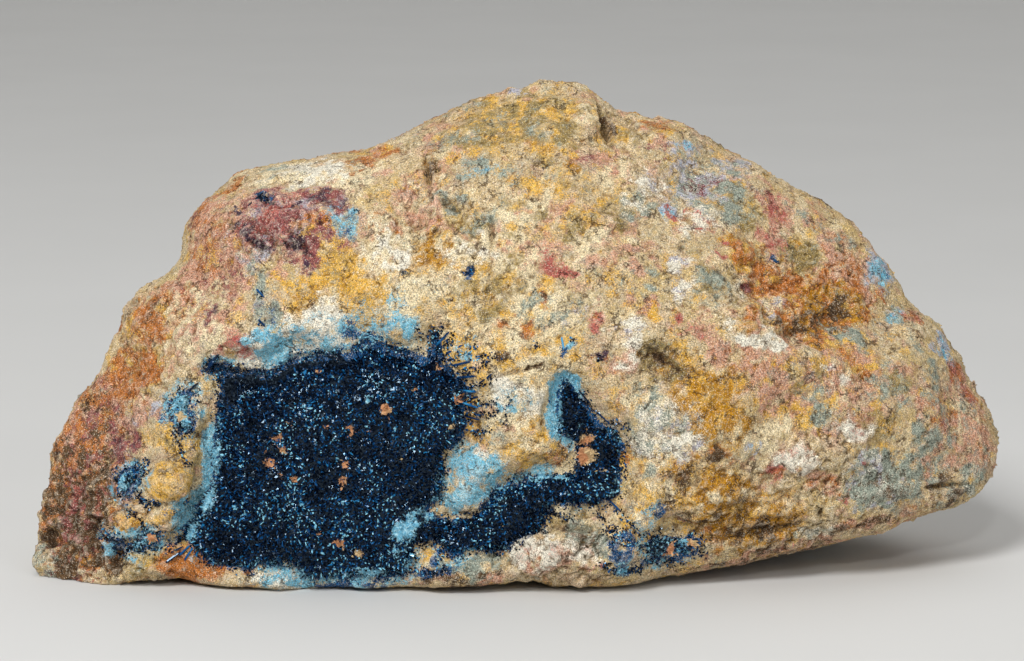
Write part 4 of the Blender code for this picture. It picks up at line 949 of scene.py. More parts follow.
# Attributes that the crystals read: how many grow there, bare flecks and pale blue
def dressSheet(mesh, surface, growing):
    points = meshPoints(mesh)
    facing = meshNormals(mesh) @ -sight
    u, v = faceCoords(points)
    shares = stainShares(points, np.ones(len(points)), surface)
    bare = fleckShare(u + 0.3 * fractalAt(points, 0.7, 61, 2), v + 0.3 * fractalAt(points, 0.7, 62, 2))
    if growing < 1.0:
        bare = np.maximum(bare, smoothStep(0.15, 0.4, fractalAt(points, 1.3, 63, 2)))
    grow = smoothStep(-0.2, 0.15, facing) * growing
    setFloats(mesh, "growing", grow)
    setFloats(mesh, "bare", bare)
    edge = np.zeros(len(points))
    for outline in crustOutlines.values():
        inside = insideDistance(u, v, outline)
        edge = np.maximum(edge, smoothStep(-1.5, -0.6, inside) * smoothStep(1.3, 0.2, inside))
    broken = np.clip(0.35 + 0.9 * fractalAt(points, 2.2, 37, 2), 0.0, 1.0)
    spread = np.zeros(len(points))
    for *place, strength in paleGrowth:
        spread = np.maximum(spread, strength * (1.0 - smoothStep(0.4, 1.4, ellipseOff(u, v, *place))))
    pale = np.maximum(0.75 * shares["sky"], 0.7 * edge * broken) + (0.3 if growing < 1.0 else 0.0)
    setFloats(mesh, "pale", np.maximum(pale, spread * (0.72 + 0.8 * fractalAt(points, 1.2, 39, 2))))
    # painted shadow: the crystals right under the upper ledge are darkened to near black and dulled, where
    # the ledge's shadow falls
    below = smoothStep(2.1, 0.9, insideDistance(u, v, mainCrust))
    setFloats(mesh, "shaded", below * smoothStep(18.6, 20.6, v) * smoothStep(-15.0, -19.0, u))


# Shapes that are scattered: a flat blade with a chisel tip, and a blunt grain
def bladeShape(name, sides, tip, chisel):
    bm = bmesh.new()
    rings = ((0.0, 0.6), (tip, 1.0), (1.0, chisel))
    loops = []
    for height, reach in rings:
        ring = []
        for k in range(sides):
            turn = 2.0 * math.pi * (k + 0.5) / sides
            ring.append(bm.verts.new((0.5 * reach * math.cos(turn), 0.5 * reach * math.sin(turn), height)))
        loops.append(ring)
    for below, above in zip(loops[:-1], loops[1:]):
        for k in range(sides):
            bm.faces.new((below[k], below[(k + 1) % sides], above[(k + 1) % sides], above[k]))
    bm.faces.new(loops[-1])
    bm.faces.new(list(reversed(loops[0])))
    return bpy.data.objects.new(name, meshOf(bm, name))


def grainShape(name, seed):
    random = np.random.default_rng(seed)
    bm = bmesh.new()
    corners = ((1, 0, 0), (-1, 0, 0), (0, 1, 0), (0, -1, 0), (0, 0, 1), (0, 0, -1))
    verts = []
    for corner in corners:
        verts.append(bm.verts.new(Vector(corner) * 0.5 + Vector(random.uniform(-0.16, 0.16, 3))))
    bmesh.ops.convex_hull(bm, input=verts)
    return bpy.data.objects.new(name, meshOf(bm, name))


def feed(tree, socket, value):
    if isinstance(value, bpy.types.NodeSocket):
        tree.links.new(value, socket)
    else:
        socket.default_value = value


# A node with its settings, its named inputs fed, and a place in the tree
def addNode(tree, kind, inputs=None, **settings):
    node = tree.nodes.new(kind)
    node.location = (len(tree.nodes) % 12 * 190, -(len(tree.nodes) // 12) * 260)
    for name, value in settings.items():
        setattr(node, name, value)
    for name, value in (inputs or {}).items():
        feed(tree, node.inputs[name], value)
    return node


def mathNode(tree, operation, first, second):
    node = addNode(tree, "ShaderNodeMath", operation=operation)
    feed(tree, node.inputs[0], first)
    feed(tree, node.inputs[1], second)
    return node.outputs[0]


# Geometry nodes that grow a shape all over a surface
def makeScatterTree():
    tree = bpy.data.node_groups.new("scatterShapes", "GeometryNodeTree")
    kinds = (
        ("Surface", "NodeSocketGeometry"), ("Shape", "NodeSocketObject"), ("Finish", "NodeSocketMaterial"),
        ("Per Square Millimetre", "NodeSocketFloat"), ("Seed", "NodeSocketInt"),
        ("Smallest", "NodeSocketVector"), ("Largest", "NodeSocketVector"), ("Lean", "NodeSocketFloat"),
        ("Sunk", "NodeSocketFloat"), ("Keep Surface", "NodeSocketBool"), ("Where", "NodeSocketString"),
    )
    for name, kind in kinds:
        tree.interface.new_socket(name, in_out="INPUT", socket_type=kind)
    tree.interface.new_socket("Geometry", in_out="OUTPUT", socket_type="NodeSocketGeometry")
    given = addNode(tree, "NodeGroupInput").outputs
    share = addNode(tree, "GeometryNodeInputNamedAttribute", {"Name": given["Where"]}, data_type="FLOAT")
    density = mathNode(tree, "MULTIPLY", given["Per Square Millimetre"], share.outputs["Attribute"])
    perMetre = mathNode(tree, "MULTIPLY", density, 1.0 / mm**2)
    spread = addNode(tree, "GeometryNodeDistributePointsOnFaces", {
        "Mesh": given["Surface"], "Density": perMetre, "Seed": given["Seed"],
    }, distribute_method="RANDOM")
    down = addNode(tree, "ShaderNodeVectorMath", {"Scale": given["Sunk"]}, operation="SCALE")
    feed(tree, down.inputs[0], spread.outputs["Normal"])
    settled = addNode(tree, "GeometryNodeSetPosition", {
        "Geometry": spread.outputs["Points"], "Offset": down.outputs[0],
    })
    # each one turns freely on its foot and leans by up to Lean, in radians
    back = mathNode(tree, "MULTIPLY", given["Lean"], -1.0)
    leastTurn = addNode(tree, "ShaderNodeCombineXYZ", {"X": back, "Y": back, "Z": 0.0})
    mostTurn = addNode(tree, "ShaderNodeCombineXYZ", {
        "X": given["Lean"], "Y": given["Lean"], "Z": 2.0 * math.pi,
    })
    turn = addNode(tree, "FunctionNodeRandomValue", {"Seed": given["Seed"]}, data_type="FLOAT_VECTOR")
    feed(tree, turn.inputs[0], leastTurn.outputs[0])
    feed(tree, turn.inputs[1], mostTurn.outputs[0])
    placed = addNode(tree, "FunctionNodeRotateRotation", rotation_space="LOCAL")
    feed(tree, placed.inputs[0], spread.outputs["Rotation"])
    feed(tree, placed.inputs[1], turn.outputs[0])
    sizeSeed = mathNode(tree, "ADD", given["Seed"], 7.0)
    size = addNode(tree, "FunctionNodeRandomValue", {"Seed": sizeSeed}, data_type="FLOAT_VECTOR")
    feed(tree, size.inputs[0], given["Smallest"])
    feed(tree, size.inputs[1], given["Largest"])
    shape = addNode(tree, "GeometryNodeObjectInfo", {"Object": given["Shape"]})
    grown = addNode(tree, "GeometryNodeInstanceOnPoints", {
        "Points": settled.outputs[0], "Instance": shape.outputs["Geometry"],
        "Rotation": placed.outputs[0], "Scale": size.outputs[0],
    })
    toneSeed = mathNode(tree, "ADD", given["Seed"], 19.0)
    tone = addNode(tree, "FunctionNodeRandomValue", {"Seed": toneSeed}, data_type="FLOAT")
    toneOut = [socket for socket in tone.outputs if socket.enabled][0]
    toned = addNode(tree, "GeometryNodeStoreNamedAttribute", {
        "Geometry": grown.outputs[0], "Name": "tone", "Value": toneOut,
    }, data_type="FLOAT", domain="INSTANCE")
    kept = addNode(tree, "GeometryNodeSwitch", {
        "Switch": given["Keep Surface"], "True": given["Surface"],
    }, input_type="GEOMETRY")
    joined = addNode(tree, "GeometryNodeJoinGeometry")
    tree.links.new(kept.outputs[0], joined.inputs[0])
    tree.links.new(toned.outputs[0], joined.inputs[0])
    real = addNode(tree, "GeometryNodeRealizeInstances", {"Geometry": joined.outputs[0]})
    finish = addNode(tree, "GeometryNodeSetMaterial", {
        "Geometry": real.outputs[0], "Material": given["Finish"],
    })
    out = addNode(tree, "NodeGroupOutput")
    tree.links.new(finish.outputs[0], out.inputs[0])
    return tree


# Runs the scatter tree over a mesh and returns the plain result
def scatter(tree, name, mesh, values):
    holder = linkedObject(name, mesh.copy())
    modifier = holder.modifiers.new("scatter", "NODES")
    modifier.node_group = tree
    named = {item.name: item.identifier for item in tree.interface.items_tree if item.in_out == "INPUT"}
    for key, value in values.items():
        modifier[named[key]] = value
    made = plainMesh(holder)
    made.name = name
    return made


# Three noise fields over Object coordinates, features of about the given size in millimetres
def noiseField(tree, coords, size, detail, seed):
    moved = addNode(tree, "ShaderNodeVectorMath", operation="ADD")
    feed(tree, moved.inputs[0], coords)
    feed(tree, moved.inputs[1], (seed * 0.037, seed * 0.019, seed * 0.053))
    texture = addNode(tree, "ShaderNodeTexNoise", {
        "Vector": moved.outputs[0], "Scale": 1.0 / (size * mm), "Detail": detail, "Roughness": 0.6,
    })
    return addNode(tree, "ShaderNodeSeparateColor", {"Color": texture.outputs["Color"]}).outputs


def mapped(tree, value, low, high, least=0.0, most=1.0, smooth=False):
    node = addNode(tree, "ShaderNodeMapRange", {
        "Value": value, "From Min": low, "From Max": high, "To Min": least, "To Max": most,
    }, clamp=True)
    if smooth:
        node.interpolation_type = "SMOOTHSTEP"
    return node.outputs[0]


def mixed(tree, share, below, above, blend="MIX"):
    node = addNode(tree, "ShaderNodeMix", data_type="RGBA", blend_type=blend)
    feed(tree, node.inputs[0], share)
    feed(tree, node.inputs[6], below)
    feed(tree, node.inputs[7], above)
    return node.outputs[2]


def attributeValue(tree, name):
    return addNode(tree, "ShaderNodeAttribute", attribute_name=name).outputs["Fac"]


# Shader group: one stain over what lies below it, in speckles whose number follows its amount
def makeStainGroup():
    group = bpy.data.node_groups.new("stainLayer", "ShaderNodeTree")
    for name, kind in (
        ("Below", "NodeSocketColor"), ("Tint", "NodeSocketColor"), ("Amount", "NodeSocketFloat"),
        ("Grain", "NodeSocketFloat"), ("Softness", "NodeSocketFloat"),
    ):
        group.interface.new_socket(name, in_out="INPUT", socket_type=kind)
    group.interface.new_socket("Colour", in_out="OUTPUT", socket_type="NodeSocketColor")
    given = addNode(group, "NodeGroupInput").outputs
    spread = mathNode(group, "MULTIPLY_ADD", given["Softness"], 2.0)
    spread.node.inputs[2].default_value = 1.0
    covered = mathNode(group, "MULTIPLY", given["Amount"], spread)
    start = mathNode(group, "ADD", given["Softness"], 1.0)
    edge = mathNode(group, "SUBTRACT", start, covered)
    low = mathNode(group, "SUBTRACT", edge, given["Softness"])
    high = mathNode(group, "ADD", edge, given["Softness"])
    share = mapped(group, given["Grain"], low, high, smooth=True)
    out = addNode(group, "NodeGroupOutput")
    group.links.new(mixed(group, share, given["Below"], given["Tint"]), out.inputs[0])
    return group


def colour(red, green, blue):
    return (red, green, blue, 1.0)


def newMaterial(name):
    made = bpy.data.materials.new(name)
    made.use_nodes = True
    return made, made.node_tree, made.node_tree.nodes["Principled BSDF"]


rockFinish = {
    "tan": colour(0.50, 0.37, 0.20),
    "palest": colour(0.68, 0.56, 0.38),
    "yellow": colour(0.56, 0.40, 0.16),
    "greenGrey": colour(0.29, 0.27, 0.18),
    "rosy": colour(0.52, 0.34, 0.24),
    "freckle": colour(0.075, 0.06, 0.04),
    "relief": 0.00018,
    "saturation": 1.06,
    # stain: two tints, the grain field that breaks it up and how soft its speckles are
    "stains": (
        ("pink", colour(0.54, 0.32, 0.23), colour(0.48, 0.24, 0.15), 0, 0.6),
        ("ochre", colour(0.68, 0.43, 0.12), colour(0.56, 0.31, 0.06), 1, 0.55),
        ("cream", colour(0.72, 0.61, 0.40), colour(0.64, 0.53, 0.34), 4, 0.6),
        ("rust", colour(0.47, 0.18, 0.055), colour(0.34, 0.11, 0.025), 2, 0.5),
        ("golden", colour(0.47, 0.24, 0.035), colour(0.34, 0.155, 0.018), 5, 0.5),
        ("olive", colour(0.31, 0.22, 0.08), colour(0.22, 0.165, 0.07), 3, 0.5),
        ("lilac", colour(0.43, 0.41, 0.46), colour(0.35, 0.37, 0.43), 5, 0.5),
        ("greyTeal", colour(0.30, 0.33, 0.27), colour(0.20, 0.23, 0.19), 0, 0.5),
        ("white", colour(0.76, 0.72, 0.61), colour(0.66, 0.61, 0.50), 1, 0.45),
        ("maroon", colour(0.27, 0.09, 0.08), colour(0.17, 0.05, 0.06), 2, 0.42),
        ("crimson", colour(0.42, 0.14, 0.11), colour(0.32, 0.08, 0.07), 3, 0.55),
        ("umber", colour(0.11, 0.055, 0.02), colour(0.05, 0.028, 0.012), 4, 0.4),
        ("sky", colour(0.27, 0.52, 0.61), colour(0.11, 0.35, 0.49), 5, 0.4),
        ("azure", colour(0.012, 0.085, 0.22), colour(0.004, 0.02, 0.06), 0, 0.26),
        ("purple", colour(0.06, 0.025, 0.05), colour(0.03, 0.014, 0.03), 1, 0.26),
    ),
}


def rockMaterial(stainGroup):
    made, tree, shader = newMaterial("altered_rock")
    coords = addNode(tree, "ShaderNodeTexCoord").outputs["Object"]
    fine = noiseField(tree, coords, 0.13, 2.0, 1)
    middle = noiseField(tree, coords, 0.5, 3.0, 2)
    wide = noiseField(tree, coords, 3.2, 3.0, 3)
    dots = noiseField(tree, coords, 0.13, 1.0, 4)
    grains = []
    for first, second in ((0, 1), (1, 2), (2, 0), (0, 2), (1, 0), (2, 1)):
        both = mathNode(tree, "ADD", middle[first], fine[second])
        grains.append(mapped(tree, both, 0.78, 1.22))
    look = rockFinish
    shade = mixed(tree, mapped(tree, grains[0], 0.35, 0.9), look["tan"], look["palest"])
    shade = mixed(tree, mapped(tree, wide[0], 0.52, 0.66, most=0.6), shade, look["rosy"])
    shade = mixed(tree, mapped(tree, wide[1], 0.50, 0.66, most=0.75), shade, look["yellow"])
    patchy = mapped(tree, wide[2], 0.42, 0.62)
    patchy = mathNode(tree, "MULTIPLY", patchy, mapped(tree, grains[3], 0.45, 0.85))
    shade = mixed(tree, mathNode(tree, "MULTIPLY", patchy, 0.7), shade, look["greenGrey"])
    for name, tint, deepTint, field, softness in look["stains"]:
        amount = attributeValue(tree, "stain_" + name)
        varied = mixed(tree, mapped(tree, grains[(field + 2) % 6], 0.3, 0.8), tint, deepTint)
        shade = addNode(tree, "ShaderNodeGroup", {
            "Below": shade, "Tint": varied, "Amount": amount, "Grain": grains[field], "Softness": softness,
        }, node_tree=stainGroup).outputs["Colour"]
    pepper = mathNode(tree, "ADD", dots[0], mapped(tree, middle[1], 0.35, 0.65, -0.07, 0.07))
    freckles = mapped(tree, pepper, 0.57, 0.66, most=0.8)
    shade = mixed(tree, freckles, shade, mixed(tree, 0.75, shade, look["freckle"]))
    salt = mapped(tree, dots[2], 0.59, 0.68, most=0.42)
    shade = mixed(tree, salt, shade, colour(0.86, 0.78, 0.64))
    lines = noiseField(tree, coords, 1.7, 4.0, 5)
    away = mathNode(tree, "ABSOLUTE", mathNode(tree, "SUBTRACT", lines[0], 0.5), 0.0)
    crack = mapped(tree, away, 0.006, 0.03, 0.85, 0.0)
    crack = mathNode(tree, "MULTIPLY", crack, mapped(tree, lines[1], 0.50, 0.60))
    shade = mixed(tree, crack, shade, mixed(tree, 1.0, shade, colour(0.16, 0.12, 0.09), "MULTIPLY"))
    relief = attributeValue(tree, "relief")
    # painted shade: hollows are darkened by how far they sink below the blurred form; powdery blue fills the
    # hollows, so they stay light there
    filled = mapped(tree, attributeValue(tree, "stain_sky"), 0.15, 0.5, 1.0, 0.25)
    paintedHollowShade = mathNode(tree, "MULTIPLY", mapped(tree, relief, -0.15, -0.9, most=0.7), filled)
    shade = mixed(tree, paintedHollowShade, shade, mixed(tree, 1.0, shade, colour(0.34, 0.26, 0.18), "MULTIPLY"))
    # painted highlight: ridges that stand out are lightened
    paintedRidgeHighlight = mapped(tree, relief, 0.3, 1.0, most=0.18)
    shade = mixed(tree, paintedRidgeHighlight, shade, colour(0.85, 0.76, 0.62))
    lightness = mapped(tree, fine[2], 0.3, 0.7, 0.46, 1.76)
    toned = addNode(tree, "ShaderNodeHueSaturation", {
        "Color": shade, "Value": lightness, "Saturation": look["saturation"],
    })
    tree.links.new(toned.outputs[0], shader.inputs["Base Color"])
    rough = mapped(tree, middle[0], 0.3, 0.7, 0.78, 0.97)
    tree.links.new(rough, shader.inputs["Roughness"])
    shader.inputs["Specular IOR Level"].default_value = 0.35
    height = mathNode(tree, "ADD", fine[0], mathNode(tree, "MULTIPLY", dots[1], 0.5))
    height = mathNode(tree, "SUBTRACT", height, mathNode(tree, "MULTIPLY", crack, 0.8))
    bump = addNode(tree, "ShaderNodeBump", {"Height": height, "Strength": 0.85, "Distance": look["relief"]})
    tree.links.new(bump.outputs[0], shader.inputs["Normal"])
    return made


crystalFinish = {
    # tone of each crystal: where it starts and its colour; the two brightest tones are partly the crystals'
    # own paler blue and partly painted glints
    "tones": (
        (0.0, colour(0.0008, 0.002, 0.006)), (0.50, colour(0.0012, 0.004, 0.015)),
        (0.70, colour(0.003, 0.026, 0.09)), (0.84, colour(0.007, 0.085, 0.25)),
        (0.925, colour(0.02, 0.21, 0.45)), (0.965, colour(0.30, 0.66, 0.82)),
    ),
    "pale": colour(0.17, 0.45, 0.60),
    "palest": colour(0.46, 0.70, 0.76),
    "gleam": colour(0.55, 0.78, 1.0),
    "bare": colour(0.58, 0.28, 0.13),
    "bareLight": colour(0.62, 0.45, 0.24),
    "relief": 0.00004,
}


def crystalMaterial():
    made, tree, shader = newMaterial("clinoclase")
    coords = addNode(tree, "ShaderNodeTexCoord").outputs["Object"]
    fine = noiseField(tree, coords, 0.3, 2.0, 11)
    wide = noiseField(tree, coords, 3.0, 2.0, 12)
    tone = attributeValue(tree, "tone")
    drift = mathNode(tree, "ADD", tone, mapped(tree, wide[0], 0.35, 0.65, -0.20, 0.10))
    # painted shadow: under the upper ledge the tone is pushed to near black and the crystals are dulled
    shaded = attributeValue(tree, "shaded")
    drift = mathNode(tree, "SUBTRACT", drift, mathNode(tree, "MULTIPLY", shaded, 0.55))
    # a few crystals take the brightest tones, partly their own paler blue and partly painted glints
    ramp = addNode(tree, "ShaderNodeValToRGB", {"Fac": drift})
    stops = ramp.color_ramp.elements
    while len(stops) < len(crystalFinish["tones"]):
        stops.new(0.5)
    for stop, (start, tint) in zip(stops, crystalFinish["tones"]):
        stop.position = start
        stop.color = tint
    shade = ramp.outputs["Color"]
    pale = attributeValue(tree, "pale")
    pale = mathNode(tree, "ADD", pale, mapped(tree, fine[0], 0.3, 0.7, -0.3, 0.3))
    paleShare = mapped(tree, pale, 0.4, 0.62)
    paleTint = mixed(tree, mapped(tree, fine[1], 0.45, 0.65), crystalFinish["pale"], crystalFinish["palest"])
    shade = mixed(tree, paleShare, shade, paleTint)
    bare = attributeValue(tree, "bare")
    bare = mathNode(tree, "ADD", bare, mapped(tree, fine[2], 0.3, 0.7, -0.2, 0.2))
    bareShare = mapped(tree, bare, 0.45, 0.6)
    patchy = mapped(tree, wide[1], 0.45, 0.55)
    bareTint = mixed(tree, patchy, crystalFinish["bare"], crystalFinish["bareLight"])
    shade = mixed(tree, bareShare, shade, bareTint)
    tree.links.new(shade, shader.inputs["Base Color"])
    dull = mathNode(tree, "MAXIMUM", bareShare, mathNode(tree, "MULTIPLY", paleShare, 0.6))
    dull = mathNode(tree, "MAXIMUM", dull, mathNode(tree, "MULTIPLY", shaded, 0.7))
    tree.links.new(mapped(tree, dull, 0.0, 1.0, 0.13, 0.85), shader.inputs["Roughness"])
    shader.inputs["IOR"].default_value = 1.75
    shader.inputs["Specular IOR Level"].default_value = 0.26
    shader.inputs["Specular Tint"].default_value = crystalFinish["gleam"]
    bump = addNode(tree, "ShaderNodeBump", {
        "Height": fine[1], "Strength": 0.25, "Distance": crystalFinish["relief"],
    })
    tree.links.new(bump.outputs[0], shader.inputs["Normal"])
    return made


def floorMaterial():
    made, tree, shader = newMaterial("pale_floor")
    coords = addNode(tree, "ShaderNodeTexCoord").outputs["Object"]
    field = noiseField(tree, coords, 40.0, 2.0, 21)
    tint = mixed(tree, mapped(tree, field[0], 0.3, 0.7), *studio["floorTints"])
    tree.links.new(tint, shader.inputs["Base Color"])
    shader.inputs["Roughness"].default_value = 0.9
    return made


def finishPiece(name, mesh, material, nodes=()):
    mesh.materials.clear()
    mesh.materials.append(material)
    for polygon in mesh.polygons:
        polygon.material_index = 0
    made = linkedObject(name, mesh)
    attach(made, "root")
    if nodes:
        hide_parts(*nodes)
    print(name + ":", len(mesh.polygons), "faces")
    return made


# Stray crystals on the rock beside the main crust, as strokes: half width and the points of each
strayStrokes = (
    (0.22, ((-8.0, 25.7), (-7.5, 26.5), (-7.3, 27.0))),
    (0.24, ((-7.5, 24.5), (-6.3, 25.5), (-6.0, 26.2))),
    (0.24, ((-6.0, 23.7), (-4.5, 24.3), (-3.9, 24.9))),
    (0.26, ((-5.5, 22.3), (-3.7, 22.7), (-2.9, 23.3))),
    (0.26, ((-5.3, 21.0), (-3.5, 21.0), (-2.3, 21.7))),
    (0.22, ((-5.0, 19.7), (-3.3, 19.1), (-1.9, 19.3))),
    (0.22, ((-4.7, 18.3), (-2.7, 18.0), (-1.5, 18.5))),
    (0.20, ((-5.0, 16.6), (-3.4, 16.2), (-2.6, 16.6))), (0.20, ((-9.4, 25.8), (-9.9, 26.8))),
    (0.15, ((-4.5, 23.8), (-2.4, 23.9), (-1.0, 23.8))),
    (0.3, ((-31.2, 22.6), (-30.6, 23.6), (-30.0, 23.2))), (0.24, ((5.6, 21.4), (6.6, 20.0), (8.2, 18.2))),
    (0.22, ((9.0, 9.6), (10.6, 8.2), (12.2, 6.4))), (0.3, ((9.0, 6.6), (10.4, 5.4), (12.6, 5.0))),
    (0.25, ((8.2, 8.2), (9.6, 7.0), (11.0, 6.4))), (0.3, ((8.6, 3.2), (10.2, 2.4), (12.4, 2.6))),
    (0.3, ((-34.6, 4.6), (-33.6, 5.4), (-32.8, 6.2))),
    (0.2, ((-34.0, 16.0), (-33.4, 14.8), (-33.0, 13.6))),
    (0.25, ((-37.6, 9.8), (-36.6, 9.2), (-35.4, 9.2))), (0.2, ((-38.4, 8.4), (-37.4, 7.6), (-36.8, 6.4))),
    (0.2, ((-32.2, 19.8), (-31.6, 20.6))), (0.2, ((9.6, 17.4), (10.6, 17.2), (11.4, 16.6))),
    (0.35, ((-10.8, 2.6), (-8.8, 2.2), (-6.8, 2.6))), (0.28, ((-7.9, 3.2), (-7.3, 4.2), (-7.6, 5.4))),
    (0.16, ((-0.6, 19.6), (-0.8, 18.4), (-1.0, 17.4))), (0.2, ((3.0, 9.0), (4.0, 8.2), (5.6, 7.6))),
)
straySpots = (
    (-25.3, 39.7, 0.45), (-4.7, 32.2, 0.4), (2.2, 25.1, 0.3), (5.8, 25.6, 0.35), (-36.6, 8.8, 0.35),
    (-34.0, 8.6, 0.3), (-33.0, 9.3, 0.4), (-38.6, 8.0, 0.3), (-36.8, 13.4, 0.35), (9.9, 17.3, 0.35),
    (-25.4, 30.1, 0.3), (-25.3, 27.2, 0.3), (8.4, 23.7, 0.35), (-15.8, 38.4, 0.3), (-32.6, 13.2, 0.3),
)


def strayShare(points, facing):
    u, v = faceCoords(points)
    share = np.zeros(len(points))
    for halfWidth, line in strayStrokes:
        off = lineDistance(u, v, line)
        share = np.maximum(share, 1.0 - smoothStep(0.6 * halfWidth, 1.4 * halfWidth, off))
    for atU, atV, reach in straySpots:
        share = np.maximum(share, 1.0 - smoothStep(0.6 * reach, 1.3 * reach, np.hypot(u - atU, v - atV)))
    u, v = faceCoords(points + 0.35 * mm * warpAt(points, 0.8, 71))
    broken = smoothStep(-0.25, 0.15, fractalAt(points, 0.9, 73, 2))
    for outline in crustOutlines.values():
        inside = insideDistance(u, v, outline)
        along = 0.8 * smoothStep(-0.75, -0.1, inside) * smoothStep(0.9, 0.6, inside) * broken
        share = np.maximum(share, along)
    return share * smoothStep(0.0, 0.2, facing)


# Grit that lies on the rock, and the crystals
grit = {
    "face": {"Per Square Millimetre": 3.4, "Smallest": (0.10, 0.10, 0.08), "Largest": (0.34, 0.30, 0.24)},
    "back": {"Per Square Millimetre": 2.0, "Smallest": (0.16, 0.16, 0.12), "Largest": (0.46, 0.42, 0.34)},
}
crystals = {
    "blades": {"Per Square Millimetre": 9.5, "Smallest": (0.12, 0.06, 0.32), "Largest": (0.34, 0.14, 0.76)},
    "grains": {"Per Square Millimetre": 29.0, "Smallest": (0.11, 0.11, 0.11), "Largest": (0.27, 0.25, 0.32)},
    "lean": 1.0,
}


def inMetres(values):
    scaled = dict(values)
    for key in ("Smallest", "Largest"):
        scaled[key] = tuple(number * mm for number in values[key])
    return scaled


def makeGrit(tree, rockMesh, material):
    facing = getFloats(rockMesh, "facing")
    points = meshPoints(rockMesh)
    u, v = faceCoords(points)
    outside = smoothStep(0.3, -0.5, insideDistance(u, v, mainCrust))
    front = smoothStep(-0.1, 0.1, facing)
    patchy = 0.5 + 0.5 * smoothStep(-0.2, 0.3, fractalAt(points, 2.5, 51))
    setFloats(rockMesh, "gritFace", front * outside * patchy)
    above = smoothStep(0.4 * mm, 1.5 * mm, points[:, 2])
    setFloats(rockMesh, "gritBack", (1.0 - front) * above)
    for name, where in (("face", "gritFace"), ("back", "gritBack")):
        values = inMetres(grit[name])
        values.update({
            "Shape": grainShape("gritGrain" + name, 5), "Finish": material, "Seed": 3, "Lean": 3.1,
            "Sunk": -0.03 * mm, "Keep Surface": False, "Where": where,
        })
        mesh = scatter(tree, "grit" + name, rockMesh, values)
        finishPiece("host_rock_grit_" + name, mesh, material)


def makeCrusts(tree, surface, material):
    blade = bladeShape("bladeShape", 4, 0.7, 0.3)
    grain = grainShape("grainShape", 9)
    for number, (name, outline) in enumerate(crustOutlines.items()):
        main = outline is mainCrust
        height = crustShape["mainHeight"] if main else crustShape["smallHeight"]
        sheet = makeCrustSheet(name, outline, surface, height)
        dressSheet(sheet, surface, 1.0 if main else 0.8)
        common = {"Finish": material, "Seed": 11 + number, "Lean": crystals["lean"], "Where": "growing"}
        values = inMetres(crystals["blades"])
        values.update(common)
        values.update({"Shape": blade, "Sunk": -0.12 * mm, "Keep Surface": True})
        mesh = scatter(tree, name + "Blades", sheet, values)
        keepAboveFloor(mesh)
        finishPiece(name + "_blades", mesh, material, (name,))
        values = inMetres(crystals["grains"])
        values.update(common)
        values.update({"Shape": grain, "Sunk": 0.02 * mm, "Keep Surface": False, "Seed": 31 + number})
        mesh = scatter(tree, name + "Grains", sheet, values)
        keepAboveFloor(mesh)
        finishPiece(name + "_grains", mesh, material)


def keepAboveFloor(mesh):
    points = meshPoints(mesh)
    points[:, 2] = np.maximum(points[:, 2], 0.1 * mm)
    movePoints(mesh, points)


def makeStrays(tree, rockMesh, material):
    facing = getFloats(rockMesh, "facing")
    setFloats(rockMesh, "strays", strayShare(meshPoints(rockMesh), facing))
    setFloats(rockMesh, "pale", 0.75 * getFloats(rockMesh, "stain_sky"))
    values = inMetres(crystals["grains"])
    values.update({
        "Shape": bladeShape("strayShape", 4, 0.75, 0.35), "Finish": material, "Seed": 77, "Lean": 1.2,
        "Sunk": -0.03 * mm, "Keep Surface": False, "Where": "strays",
    })
    mesh = scatter(tree, "strays", rockMesh, values)
    finishPiece("clinoclase_stray_crystals", mesh, material)


# Single long blades that lie on the rock beside the crust: from u, v to u, v, and their width
longBlades = (
    (-34.9, 3.3, -33.4, 4.4, 0.26), (-33.6, 4.1, -32.5, 5.0, 0.24), (-34.4, 4.3, -33.2, 4.9, 0.18),
    (-33.0, 3.5, -32.2, 4.8, 0.2), (-31.9, 4.0, -31.4, 5.3, 0.22), (-31.2, 3.6, -30.8, 4.9, 0.2),
    (-30.5, 3.7, -30.2, 4.9, 0.22), (-29.8, 3.5, -29.7, 4.7, 0.2), (-29.0, 3.4, -29.2, 4.5, 0.22),
    (-28.3, 3.3, -28.6, 4.4, 0.2), (-27.5, 3.1, -27.9, 4.2, 0.22), (-35.4, 4.7, -34.2, 5.3, 0.2),
    (-30.8, 23.0, -29.6, 24.2, 0.3), (-31.0, 22.3, -30.0, 23.6, 0.26), (-7.8, 25.0, -6.5, 26.4, 0.24),
    (-6.8, 24.2, -5.2, 25.0, 0.22), (-6.2, 23.0, -4.4, 23.4, 0.24), (-5.8, 21.8, -3.8, 22.0, 0.24),
    (-5.6, 20.6, -3.8, 20.4, 0.22), (-5.4, 19.4, -3.6, 18.8, 0.22), (-5.2, 22.6, -3.6, 23.6, 0.2),
    (-5.0, 18.0, -3.4, 17.6, 0.2), (-3.6, 21.2, -2.2, 22.2, 0.18), (-4.2, 19.8, -2.6, 20.0, 0.18),
    (-26.6, 38.9, -25.2, 40.2, 0.2), (-24.9, 39.9, -25.9, 39.1, 0.22), (-5.0, 31.9, -4.3, 32.5, 0.2),
    (-25.8, 30.6, -25.0, 29.8, 0.2), (-25.6, 27.6, -25.0, 26.9, 0.22), (4.7, 25.8, 4.9, 24.6, 0.2),
    (9.4, 9.6, 10.6, 8.4, 0.2), (10.0, 6.6, 11.6, 5.4, 0.22), (10.8, 5.0, 12.4, 4.6, 0.2),
    (-32.6, 20.4, -31.7, 21.3, 0.2), (8.2, 18.4, 9.6, 17.2, 0.18), (6.4, 20.6, 7.6, 19.2, 0.2),
)


longBladeShape = {
    "lift": 0.12,
    "bridging": 1.35,  # a blade this much longer than it looks would bridge a step in the rock
    "rings": ((0.0, 0.25), (0.12, 1.0), (0.85, 0.9), (1.0, 0.2)),  # share of the length, reach
    "tones": (0.62, 0.97),
    "seed": 8,
}


